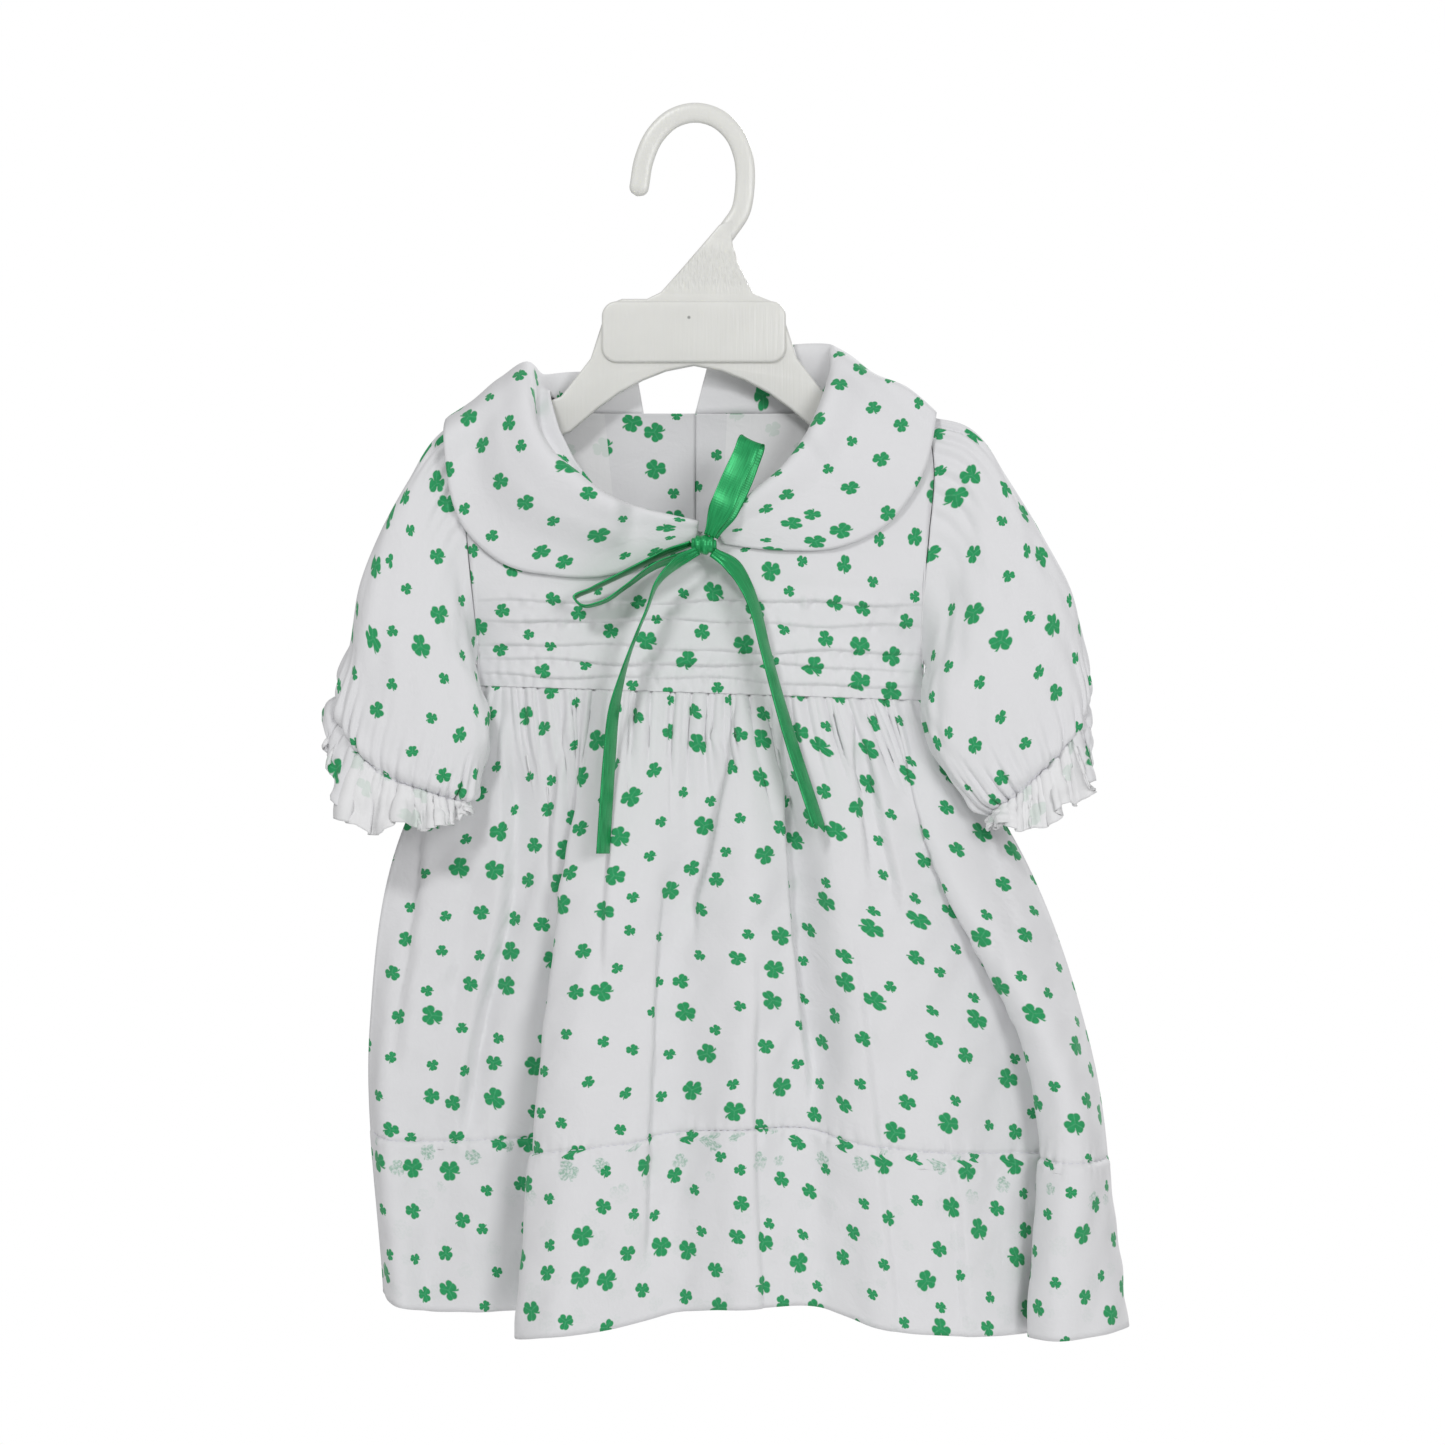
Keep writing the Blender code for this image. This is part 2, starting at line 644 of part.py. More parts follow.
def make_buttons(material):
    for number, z in enumerate(BUTTON_HEIGHTS, start=1):
        back = body_depth(BUTTON_X, z, BACK_DEPTH) + PLACKET_SHIFT + WALL / 2
        y = back + SEAM_GAP + BUTTON_THICKNESS / 2
        bpy.ops.mesh.primitive_cylinder_add(
            vertices=20,
            radius=BUTTON_RADIUS * MM,
            depth=BUTTON_THICKNESS * MM,
            location=Vector((BUTTON_X, y, z)) * MM,
            rotation=(math.pi / 2, 0.0, 0.0),
        )
        button = bpy.context.object
        button.name = f"button_{number}"
        button.data.materials.append(material)
        keep_with_parts(button)
        edge = button.modifiers.new("Rounded edge", "BEVEL")
        edge.width = BUTTON_EDGE * MM
        edge.segments = 1


def fold_shares(folds):
    """Each fold's share of the cloth at the waist, where it is even, and at the hem."""
    first, last = folds[0].waist, folds[-1].waist
    waist = [(fold.waist - first) / (last - first) for fold in folds]
    run = [0.0]
    for a, b in zip(folds, folds[1:]):
        run.append(run[-1] + math.dist(a.hem[:2], b.hem[:2]))
    return waist, [length / run[-1] for length in run]


def gather_wave(share, down, gathers):
    """Small gathers below the waist seam: deeper a little way down, then they run out."""
    number = round(share * gathers)
    depth = GATHER_DEPTH * (0.8 + 0.25 * math.sin(2.3 * number))
    length = GATHER_LENGTH + 0.07 * math.sin(1.7 * number + 1.0)
    rise = 0.7 + 0.3 * ease(0.0, 0.05, down)
    fade = 1.0 - ease(0.25 * length, length, down)
    at_seams = ease(0.0, 0.03, share) * ease(1.0, 0.97, share)
    return depth * rise * fade * at_seams * math.cos(2.0 * math.pi * gathers * share)


def skirt_rows(folds, full, gathers):
    """Rows of a skirt panel from the waist to the hem; fine columns only near the waist."""
    waist_share, hem_share = fold_shares(folds)
    side = math.copysign(1.0, full)
    rows = []
    for down in WAIST_ROWS + LOWER_ROWS:
        columns = gathers * COLUMNS_PER_GATHER // (1 if down in WAIST_ROWS else 2)
        turned = ease(0.0, FOLD_SPREAD, down)
        keys = [blend(a, b, turned) for a, b in zip(waist_share, hem_share)]
        xs, ys, zs = [], [], []
        for fold in folds:
            waist_y = side * body_depth(fold.waist, waist_z(fold.waist), abs(full))
            if fold in (LEFT_SEAM, RIGHT_SEAM):
                waist_y = 0.0
            levels_x = (fold.waist, fold.upper[0], fold.middle[0], fold.hem[0])
            levels_y = (waist_y, fold.upper[1], fold.middle[1], fold.hem[1])
            xs.append(smooth_between(SKIRT_LEVELS, levels_x, down))
            ys.append(smooth_between(SKIRT_LEVELS, levels_y, down))
            zs.append(blend(waist_z(fold.waist) - SEAM_GAP / 2, fold.hem[2], down))
        row = []
        for column in range(columns + 1):
            share = column / columns
            x = smooth_between(keys, xs, share)
            y = smooth_between(keys, ys, share) + side * gather_wave(share, down, gathers)
            row.append((x, y, smooth_between(keys, zs, share)))
        part_at_seam(row, 0, 1, side)
        part_at_seam(row, -1, -2, side)
        rows.append(row)
    return rows, len(WAIST_ROWS) + LOWER_ROWS.index(HEM_LINE)


def make_skirt(material):
    rows, hem = skirt_rows(FRONT_FOLDS, -FRONT_DEPTH, FRONT_GATHERS)
    cloth("skirt_front", rows, material, hem_from=hem)
    rows, hem = skirt_rows(BACK_FOLDS, BACK_DEPTH, BACK_GATHERS)
    cloth("skirt_back", rows, material, hem_from=hem)


def armhole_ring(side, count):
    """The sleeve's first section, which meets the body's edge with the armhole's gap."""
    edge_x = side_x(SIDES[0][0])[0 if side < 0 else 1]
    top = shoulder_z(edge_x)
    ring = []
    for i in range(count):
        angle = 2.0 * math.pi * i / count
        z = (top + UNDERARM_Z) / 2 + (top - UNDERARM_Z) / 2 * math.cos(angle)
        x = side_x(z)[0 if side < 0 else 1]
        across = round(math.sin(angle), 6)
        full = FRONT_DEPTH if across > 0 else BACK_DEPTH
        depth = max(body_depth(x, z, full), UNDERARM_DEPTH) if across else 0.0
        ring.append((x + side * ARMHOLE_GAP, -math.copysign(depth, across), z))
    return ring


def sleeve_ring(section, count, wave):
    """One section of a sleeve, with the waves of the cuff where it has them."""
    outer = Vector((section.outer[0], section.outer_y, section.outer[1]))
    inner = Vector((section.inner[0], section.inner_y, section.inner[1]))
    middle = (outer + inner) / 2
    reach = (outer - inner) / 2
    ring = []
    for i in range(count):
        angle = 2.0 * math.pi * i / count
        across = math.copysign(abs(math.sin(angle)) ** SLEEVE_SQUARENESS, math.sin(angle))
        depth = section.front if across > 0 else section.back
        push = wave * (0.85 + 0.25 * math.sin(3.0 * angle + 1.0)) * math.cos(CUFF_WAVES * angle)
        outward = reach.normalized() * math.cos(angle) - Vector((0.0, 1.0, 0.0)) * math.sin(angle)
        point = middle + reach * math.cos(angle) - Vector((0.0, depth * across, 0.0))
        ring.append(tuple(point + outward * push))
    return ring


def make_sleeve(name, sections, side, material):
    rows = [armhole_ring(side, CUFF_COLUMNS // 2)]
    for section, wave in zip(sections, SLEEVE_WAVES):
        rows.append(sleeve_ring(section, CUFF_COLUMNS if wave else CUFF_COLUMNS // 2, wave))
    cloth(name, rows, material, closed=True)
    return rows


def surface_of(sheets):
    """The middle surfaces of several cloth sheets; each is given with the side it faces."""
    points, faces = [], []
    for rows, closed, outward in sheets:
        count = len(rows[0])
        for upper in range(len(rows) - 1):
            for i in range(count if closed else count - 1):
                j = (i + 1) % count
                a = len(points) + upper * count
                face = (a + i, a + count + i, a + count + j, a + j)
                faces.append(face if outward else face[::-1])
        points += [Vector(point) for row in rows for point in row]
    return BVHTree.FromPolygons(points, faces)


def stands_low(sample, surface, clearance):
    place, normal, _, distance = surface.find_nearest(sample)
    behind = (sample - place).normalized().dot(normal) < -0.5
    return distance < clearance or (behind and distance < UNDER_REACH)


def stand_clear(rows, outs, surface, clearance):
    """Moves the points of a sheet outward until all its cells stand clear of a surface."""
    shares = (0.0, 0.25, 0.5, 0.75, 1.0)
    for _ in range(SETTLE_ROUNDS):
        low = set()
        for r in range(len(rows) - 1):
            for c in range(len(outs) - 1):
                for u in shares:
                    left = rows[r][c].lerp(rows[r + 1][c], u)
                    right = rows[r][c + 1].lerp(rows[r + 1][c + 1], u)
                    if any(stands_low(left.lerp(right, v), surface, clearance) for v in shares):
                        low.update(((r, c), (r, c + 1), (r + 1, c), (r + 1, c + 1)))
                        break
        if not low:
            return
        for r, c in low:
            rows[r][c] = rows[r][c] + outs[c] * SETTLE_STEP


def over_body(x, z, face, lift):
    """A point of the body's outer side at x and z, moved out by lift."""
    full = FRONT_DEPTH if face > 0 else BACK_DEPTH
    depth = body_depth(x, z, full)
    fall = min(max(shoulder_z(x) - z, 0.0) / SHOULDER_ROUND, 1.0)
    out = Vector((0.0, math.sqrt(1.0 - (1.0 - fall) ** 2) / full, (1.0 - fall) / SHOULDER_ROUND))
    out.normalize()
    side = -1.0 if face > 0 else 1.0
    return Vector((x, side * (depth + out.y * lift), min(z, shoulder_z(x)) + out.z * lift))


def collar_rows(neck, table, body, stand_faces_out):
    """Rows of a collar half from the neck seam, over the roll, to the outer edge."""
    run = [0.0]
    for a, b in zip(neck, neck[1:]):
        run.append(run[-1] + math.dist(a, b))
    keys = [row.along for row in table]
    places = sorted(keys + [(a + b) / 2 for a, b in zip(keys, keys[1:])])
    rows = [[] for _ in range(6)]
    outs = []
    for along in places:
        length = blend(COLLAR_PARTING, run[-1], along)
        point = Vector([straight_between([(r, p[i]) for r, p in zip(run, neck)], length) for i in range(3)])

        def column(pick):
            return smooth_between(keys, [pick(row) for row in table], along)

        roll = Vector([column(lambda row, i=i: row.roll[i]) for i in range(3)])
        face = math.radians(column(lambda row: row.face))
        lift = column(lambda row: row.lift)
        edge_x = column(lambda row: row.edge[0])
        edge_z = column(lambda row: row.edge[1])
        edge = over_body(edge_x, edge_z, face, lift)
        away = Vector((roll.x / NECK_OVAL[0] ** 2, roll.y / NECK_OVAL[1] ** 2, 0.0)).normalized()
        out = Vector((0.0, -math.sin(face), math.cos(face)))
        outs.append(out)
        rows[0].append(point + out * (WALL + SEAM_GAP))
        rows[1].append(roll - away * COLLAR_ROLL)
        rows[2].append(roll + away * COLLAR_ROLL)
        for row, share in zip(rows[3:5], COLLAR_ROWS):
            row.append(roll.lerp(edge, share) + away * COLLAR_ROLL * (1.0 - share) + out * COLLAR_BULGE)
        rows[5].append(edge)
    stand, fall = rows[:2], rows[2:]
    stand_clear(stand, outs, surface_of(body), WALL + SEAM_GAP)
    stand_clear(fall, outs, surface_of(body + [(stand, False, stand_faces_out)]), COLLAR_CLEARANCE)
    return stand + fall


def make_collar(front, back_left, back_right, sleeve_left, sleeve_right, material):
    front_top, left_top, right_top = front[0], back_left[0], back_right[0]
    middle = min(range(len(front_top)), key=lambda i: front_top[i][2])
    bodice = [(front, False, True), (back_left, False, False), (back_right, False, False)]

    neck = [p for p in front_top[: middle + 1] if p[0] >= LEFT_NECK_X - 0.01][::-1]
    neck += [p for p in left_top if LEFT_NECK_X + 0.1 < p[0] < RIGHT_PLACKET_X]
    rows = collar_rows(neck, LEFT_COLLAR, bodice + [(sleeve_left[:4], True, True)], True)
    cloth("collar_left", rows, material)

    neck = [p for p in front_top[middle:] if p[0] <= RIGHT_NECK_X + 0.01]
    neck += [p for p in right_top if 0.0 < p[0] < RIGHT_NECK_X - 0.1][::-1]
    rows = collar_rows(neck, RIGHT_COLLAR, bodice + [(sleeve_right[:4], True, False)], False)
    cloth("collar_right", rows, material)


def at_knot(point):
    """The place next to the knot's surface in the direction of a point."""
    away = (Vector(point) - Vector(KNOT_CENTRE)).normalized()
    reach = 1.0 / math.sqrt(sum((part / radius) ** 2 for part, radius in zip(away, KNOT_RADII)))
    return tuple(Vector(KNOT_CENTRE) + away * (reach + 1.5 * SEAM_GAP))


def make_strip(name, table, points, material, loop=False, slant=0.0):
    """A ribbon strip that is pinched where it leaves the knot, and where a loop comes back."""
    line = [(x, y, z) for x, y, z, _ in table]
    line[0] = at_knot(line[0])
    if loop:
        line[-1] = at_knot(line[-1])
    lengths = [0.0]
    for a, b in zip(line, line[1:]):
        lengths.append(lengths[-1] + math.dist(a, b))
    turns = [row[3] for row in table]
    centres = [Vector(point) for point in even_points(line, points)]
    rows = []
    for i, centre in enumerate(centres):
        ahead = (centres[min(i + 1, points - 1)] - centres[max(i - 1, 0)]).normalized()
        along = lengths[-1] * i / (points - 1)
        turn = math.radians(smooth_between(lengths, turns, along))
        flat = Vector((abs(ahead.z), 0.0, -ahead.x * math.copysign(1.0, ahead.z))).normalized()
        across = flat * math.cos(turn) + Vector((0.0, 1.0, 0.0)) * math.sin(turn)
        from_knot = min(along, lengths[-1] - along) if loop else along
        width = RIBBON_WIDTH * blend(RIBBON_PINCH, 1.0, ease(0.0, PINCH_LENGTH, from_knot))
        half = across * width / 2
        cut = Vector((0.0, 0.0, slant if i == points - 1 else 0.0))
        rows.append([tuple(centre - half + cut), tuple(centre), tuple(centre + half - cut)])
    cloth(name, rows, material, wall=RIBBON_WALL)


def make_ribbon(material):
    bpy.ops.mesh.primitive_uv_sphere_add(
        segments=16, ring_count=8, radius=MM, location=Vector(KNOT_CENTRE) * MM
    )
    knot = bpy.context.object
    knot.name = "ribbon_knot"
    knot.scale = KNOT_RADII
    knot.data.materials.append(material)
    keep_with_parts(knot)
    make_strip("ribbon_loop_up", LOOP_UP, LOOP_POINTS, material, loop=True)
    make_strip("ribbon_loop_side", LOOP_SIDE, LOOP_POINTS, material, loop=True)
    make_strip("ribbon_tail_left", TAIL_LEFT, TAIL_POINTS, material)
    make_strip("ribbon_tail_right", TAIL_RIGHT, TAIL_POINTS, material, slant=TAIL_SLANT)


def hanger_outline():
    """Outline of the flat moulding, x and z: hook, neck, plate and both arms."""
    centres = even_points(HOOK_LINE, HOOK_POINTS)
    outer, inner = [], []
    for i, (x, z) in enumerate(centres):
        a, b = centres[max(i - 1, 0)], centres[min(i + 1, len(centres) - 1)]
        length = math.dist(a, b)
        normal = (-(b[1] - a[1]) / length, (b[0] - a[0]) / length)
        outer.append((x + normal[0] * HOOK_WIDTH / 2, z + normal[1] * HOOK_WIDTH / 2))
        inner.append((x - normal[0] * HOOK_WIDTH / 2, z - normal[1] * HOOK_WIDTH / 2))
    half = PLATE_SHOULDER + ARM_TOP + ARM_TIP + ARM_BOTTOM
    right = [(HANGER_MIDDLE + x, z) for x, z in half]
    left = [(HANGER_MIDDLE - x, z) for x, z in reversed(half)]
    arch = [(HANGER_MIDDLE, ARCH_Z)]
    down = outer[:-1] + list(NECK_RIGHT) + right
    up = left + list(NECK_LEFT) + inner[::-1][1:]
    return down + arch + up + list(HOOK_TIP[::-1])


def flat_moulding(name, outline, thickness, edge):
    """A flat outline in the XZ plane with a thickness and small bevelled edges."""
    curve = bpy.data.curves.new(name, "CURVE")
    curve.dimensions = "2D"
    curve.fill_mode = "BOTH"
    curve.extrude = (thickness / 2 - edge) * MM
    curve.bevel_depth = edge * MM
    curve.bevel_resolution = 0
    curve.offset = -edge * MM
    line = curve.splines.new("POLY")
    line.points.add(len(outline) - 1)
    for point, (x, z) in zip(line.points, outline):
        point.co = (x * MM, z * MM, 0.0, 1.0)
    line.use_cyclic_u = True
    drawn = bpy.data.objects.new(name, curve)
    parts.objects.link(drawn)
    drawn.rotation_euler = (math.pi / 2, 0.0, 0.0)
    bpy.context.view_layer.update()
    mesh = bpy.data.meshes.new_from_object(drawn.evaluated_get(bpy.context.evaluated_depsgraph_get()))
    mesh.transform(drawn.matrix_world)
    bpy.data.objects.remove(drawn)
    welded = bmesh.new()
    welded.from_mesh(mesh)
    bmesh.ops.remove_doubles(welded, verts=welded.verts, dist=1e-6)
    bmesh.ops.recalc_face_normals(welded, faces=welded.faces)
    welded.to_mesh(mesh)
    welded.free()
    return mesh


def rounded_rectangle(size, centre, radius):
    width, height = size
    corners = ((1, 1, 0), (-1, 1, 90), (-1, -1, 180), (1, -1, 270))
    outline = []
    for right, up, start in corners:
        for step in range(5):
            angle = math.radians(start + 22.5 * step)
            x = centre[0] + right * (width / 2 - radius) + radius * math.cos(angle)
            z = centre[1] + up * (height / 2 - radius) + radius * math.sin(angle)
            outline.append((x, z))
    return outline


def make_hanger(material):
    body = flat_moulding("hanger", hanger_outline(), HANGER_THICKNESS, HANGER_EDGE)
    hanger = new_object("hanger", body, material)
    outline = rounded_rectangle(PLATE_SIZE, (HANGER_MIDDLE, PLATE_CENTRE_Z), PLATE_CORNER)
    plate = bpy.data.objects.new(
        "plate_form", flat_moulding("plate_form", outline, PLATE_THICKNESS, HANGER_EDGE)
    )
    forms.objects.link(plate)
    plate.hide_render = True
    plate.display_type = "WIRE"
    join = hanger.modifiers.new("Plate", "BOOLEAN")
    join.operation = "UNION"
    join.object = plate
    join.solver = "EXACT"


for old in list(bpy.data.objects):
    bpy.data.objects.remove(old, do_unlink=True)
parts = bpy.data.collections.new("Baby dress on a hanger")
forms = bpy.data.collections.new("Joining forms")
bpy.context.scene.collection.children.link(parts)
bpy.context.scene.collection.children.link(forms)

printed_cotton = surface_finish("Printed cotton", (0.78, 0.78, 0.80), 0.85)
green_satin = surface_finish("Green satin ribbon", (0.02, 0.32, 0.11), 0.35)
white_plastic = surface_finish("White moulded plastic", (0.80, 0.80, 0.76), 0.4)
button_plastic = surface_finish("White button plastic", (0.85, 0.85, 0.84), 0.3)

make_hanger(white_plastic)
front_rows = make_bodice_front(printed_cotton)
back_rows = make_bodice_backs(printed_cotton)
sleeve_rows = (
    make_sleeve("sleeve_left", LEFT_SLEEVE, -1, printed_cotton),
    make_sleeve("sleeve_right", RIGHT_SLEEVE, 1, printed_cotton),
)
make_collar(front_rows, *back_rows, *sleeve_rows, printed_cotton)
make_skirt(printed_cotton)
make_buttons(button_plastic)
make_ribbon(green_satin)
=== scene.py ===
import math

import bmesh
import bpy
import numpy as np
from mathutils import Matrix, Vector
from mathutils.bvhtree import BVHTree


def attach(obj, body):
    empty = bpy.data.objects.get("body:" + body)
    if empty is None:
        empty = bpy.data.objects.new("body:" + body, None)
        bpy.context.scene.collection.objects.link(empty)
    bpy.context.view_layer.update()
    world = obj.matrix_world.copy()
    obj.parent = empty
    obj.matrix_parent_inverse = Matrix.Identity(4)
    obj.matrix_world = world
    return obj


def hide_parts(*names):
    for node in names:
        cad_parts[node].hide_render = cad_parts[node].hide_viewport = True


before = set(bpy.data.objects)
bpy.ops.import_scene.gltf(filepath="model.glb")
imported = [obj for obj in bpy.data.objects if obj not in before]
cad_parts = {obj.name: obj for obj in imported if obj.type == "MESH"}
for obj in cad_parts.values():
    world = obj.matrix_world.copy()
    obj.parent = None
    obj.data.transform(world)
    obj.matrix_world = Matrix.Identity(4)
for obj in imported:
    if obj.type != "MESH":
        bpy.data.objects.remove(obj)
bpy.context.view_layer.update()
mm = 0.001
scene = bpy.context.scene

# numbers and shapes used by every piece


def mix(a, b, share):
    return a + (b - a) * share


def ramp(start, end, value):
    share = np.clip((value - start) / (end - start), 0.0, 1.0)
    return share * share * (3.0 - 2.0 * share)


def bell(away, width):
    return np.exp(-((away / width) ** 2))


def squarer(value, power):
    # a sine or a cosine pushed toward a square's
    return np.sign(value) * np.abs(value) ** power


def straightThrough(keys, values, at):
    # straight lines through the values, carried on past both ends
    keys, values, at = np.asarray(keys, float), np.asarray(values, float), np.asarray(at, float)
    i = np.clip(np.searchsorted(keys, at) - 1, 0, len(keys) - 2)
    return mix(values[i], values[i + 1], (at - keys[i]) / (keys[i + 1] - keys[i]))


def smoothThrough(keys, values, at):
    # a smooth curve through the values at rising keys; values may have more than one column
    keys, values = np.asarray(keys, float), np.asarray(values, float)
    at = np.clip(np.asarray(at, float), keys[0], keys[-1])
    wide = (...,) + (None,) * (values.ndim - 1)
    gaps = np.diff(keys)
    rates = np.diff(values, axis=0) / gaps[wide]
    slopes = np.empty_like(values)
    slopes[0], slopes[-1] = rates[0], rates[-1]
    between = gaps[:-1] + gaps[1:]
    slopes[1:-1] = (rates[:-1] * gaps[1:][wide] + rates[1:] * gaps[:-1][wide]) / between[wide]
    i = np.clip(np.searchsorted(keys, at) - 1, 0, len(keys) - 2)
    gap = gaps[i][wide]
    share = ((at - keys[i]) / gaps[i])[wide]
    bend = share * share * (3.0 - 2.0 * share)
    swing = slopes[i] * share * (1.0 - share) ** 2 - slopes[i + 1] * share * share * (1.0 - share)
    return values[i] * (1.0 - bend) + values[i + 1] * bend + gap * swing


def runLength(points):
    steps = np.linalg.norm(np.diff(points, axis=0), axis=-1)
    return np.concatenate([[0.0], np.cumsum(steps)])


def rowPlaces(grid):
    # how far down the cloth each row of a grid of points lies, on average
    return np.concatenate([[0.0], np.cumsum(np.linalg.norm(np.diff(grid, axis=0), axis=2).mean(axis=1))])


def unit(vectors):
    return vectors / np.linalg.norm(vectors, axis=-1, keepdims=True)


def evenPoints(points, count):
    # points spaced evenly on the smooth curve through the given ones
    points = np.asarray(points, float)
    run = runLength(points)
    return smoothThrough(run, points, np.linspace(0.0, run[-1], count))


def wander(u, v, seed, shortest, longest, count=9):
    # an uneven, repeatable wave over two lengths in mm, about -1 to 1
    dice = np.random.default_rng(seed)
    total = np.zeros(np.broadcast(u, v).shape)
    for _ in range(count):
        angle, length, phase = (
            dice.uniform(0, math.pi), dice.uniform(shortest, longest), dice.uniform(0, 6.28))
        total = total + np.sin((u * math.cos(angle) + v * math.sin(angle)) * 2 * math.pi / length + phase)
    return total / math.sqrt(count)


def outward(grid, flip, closed=False):
    # unit normals of a grid of points whose rows run down and whose columns run across
    padded = np.concatenate([grid[:, -1:], grid, grid[:, :1]], axis=1) if closed else grid
    across = np.gradient(padded, axis=1)
    across = across[:, 1:-1] if closed else across
    normal = np.cross(np.gradient(grid, axis=0), across)
    normal /= np.maximum(np.linalg.norm(normal, axis=2, keepdims=True), 1e-9)
    return -normal if flip else normal


def lifted(grid, amount, flip=False, closed=False):
    return grid + outward(grid, flip, closed) * np.asarray(amount)[..., None]


def flatLayout(grid, closed=False):
    # where each point lay on the flat cloth: a sector of a ring whose rows keep their true length
    looped = np.concatenate([grid, grid[:, :1]], axis=1) if closed else grid
    steps = np.linalg.norm(np.diff(looped, axis=1), axis=2)
    run = np.concatenate([np.zeros((len(grid), 1)), np.cumsum(steps, axis=1)], axis=1)
    down = rowPlaces(grid)
    spread, first = np.polyfit(down, run[:, -1], 1)
    spread = math.copysign(max(abs(spread), 0.02), spread)
    radius = (first / spread + down)[:, None]
    angle = (run / run[:, -1:] - 0.5) * spread
    return np.stack([radius * np.sin(angle), -radius * np.cos(angle)], axis=2)


def placed(name, data):
    piece = bpy.data.objects.new(name, data)
    scene.collection.objects.link(piece)
    return piece


def bakedMesh(piece):
    # the piece's mesh with its modifiers worked in
    return bpy.data.meshes.new_from_object(piece.evaluated_get(bpy.context.evaluated_depsgraph_get()))


def keptMesh(built, mesh):
    # writes a worked bmesh into a mesh, its faces turned outward
    bmesh.ops.recalc_face_normals(built, faces=built.faces)
    built.to_mesh(mesh)
    built.free()
    return mesh


def worked(piece, operation, tool):
    # joins a tool piece to a piece or cuts it away, and gives the new mesh
    change = piece.modifiers.new("tool", "BOOLEAN")
    change.operation, change.object, change.solver = operation, tool, "EXACT"
    piece.data = bakedMesh(piece)
    piece.modifiers.clear()
    bpy.data.objects.remove(tool)
    return piece.data


def joinRings(built, rings):
    # faces between closed rings of points
    rings = [[built.verts.new(Vector(point) * mm) for point in ring] for ring in rings]
    for a, b in zip(rings, rings[1:]):
        for i in range(len(a)):
            after = (i + 1) % len(a)
            built.faces.new((a[i], a[after], b[after], b[i]))
    return rings


def quads(rows, columns, closed):
    # the cells of a grid of points, as their four corners' numbers
    index = np.arange(rows * columns).reshape(rows, columns)
    after = np.roll(index, -1, axis=1)
    wide = columns if closed else columns - 1
    return np.stack([index[:-1, :wide], index[1:, :wide], after[1:, :wide], after[:-1, :wide]], axis=2)


def gridPiece(name, grid, layout, flip=False, closed=False):
    # a mesh over a grid of points, with its flat layout as the UV map
    faces = quads(*grid.shape[:2], closed)
    wide = faces.shape[1]
    spots = np.stack(
        [layout[:-1, :wide], layout[1:, :wide], layout[1:, 1 : wide + 1], layout[:-1, 1 : wide + 1]], axis=2
    )
    if flip:
        faces, spots = faces[:, :, ::-1], spots[:, :, ::-1]
    mesh = bpy.data.meshes.new(name)
    mesh.from_pydata((grid.reshape(-1, 3) * mm).tolist(), [], faces.reshape(-1, 4).tolist())
    uvMap = mesh.uv_layers.new(name="flatCloth")
    uvMap.data.foreach_set("uv", (spots.reshape(-1) * mm).astype(np.float32))
    mesh.shade_smooth()
    return placed(name, mesh)


def thinWall(piece, name, weights, least):
    # the wall keeps its thickness where the weight is 1 and has the least share of it where that is 0
    group = piece.vertex_groups.new(name=name)
    for index, weight in enumerate(weights):
        group.add([index], float(weight), "REPLACE")
    wall = piece.modifiers["wall"]
    wall.vertex_group, wall.thickness_vertex_group = group.name, least


def sewn(name, node, grid, flip=False, closed=False, thickness=0.9, layout=None):
    # a cut piece of the dress: printed outside, plain wrong side inside
    layout = flatLayout(grid, closed) if layout is None else layout
    piece = gridPiece(name, grid, layout, flip, closed)
    piece.data.materials.append(printedCotton)
    piece.data.materials.append(wrongSide)
    wall = piece.modifiers.new("wall", "SOLIDIFY")
    wall.thickness = thickness * mm
    wall.offset = 0.0
    wall.material_offset = 1
    wall.material_offset_rim = 0
    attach(piece, "root")
    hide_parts(node)
    return piece


# materials


def linear(code):
    # sRGB hex to linear
    parts = [int(code[i : i + 2], 16) / 255 for i in (0, 2, 4)]
    return tuple(c / 12.92 if c <= 0.04045 else ((c + 0.055) / 1.055) ** 2.4 for c in parts) + (1.0,)


def setInputs(tree, node, inputs):
    # an input is a value, a socket, or a node whose first output is meant; None leaves it alone
    for key, value in inputs.items() if isinstance(inputs, dict) else enumerate(inputs):
        if isinstance(value, bpy.types.Node):
            value = value.outputs[0]
        if isinstance(value, bpy.types.NodeSocket):
            tree.links.new(value, node.inputs[key])
        elif value is not None:
            node.inputs[key].default_value = value


def addNode(tree, kind, inputs=(), **settings):
    node = tree.nodes.new(kind)
    for name, value in settings.items():
        setattr(node, name, value)
    setInputs(tree, node, inputs)
    return node


def maths(tree, operation, *inputs):
    return addNode(tree, "ShaderNodeMath", inputs, operation=operation)


def ranged(tree, value, low, high, lowGives=0.0, highGives=1.0):
    return addNode(tree, "ShaderNodeMapRange", [value, low, high, lowGives, highGives])


def stretched(tree, place, scale):
    return addNode(tree, "ShaderNodeMapping", {"Vector": place, "Scale": scale})


def noise(tree, place, scale, detail=2.0, distortion=0.0):
    inputs = {"Vector": place, "Scale": scale, "Detail": detail, "Distortion": distortion}
    return addNode(tree, "ShaderNodeTexNoise", inputs)


def bump(tree, height, strength, distance, under=None):
    inputs = {"Height": height, "Strength": strength, "Distance": distance, "Normal": under}
    return addNode(tree, "ShaderNodeBump", inputs)


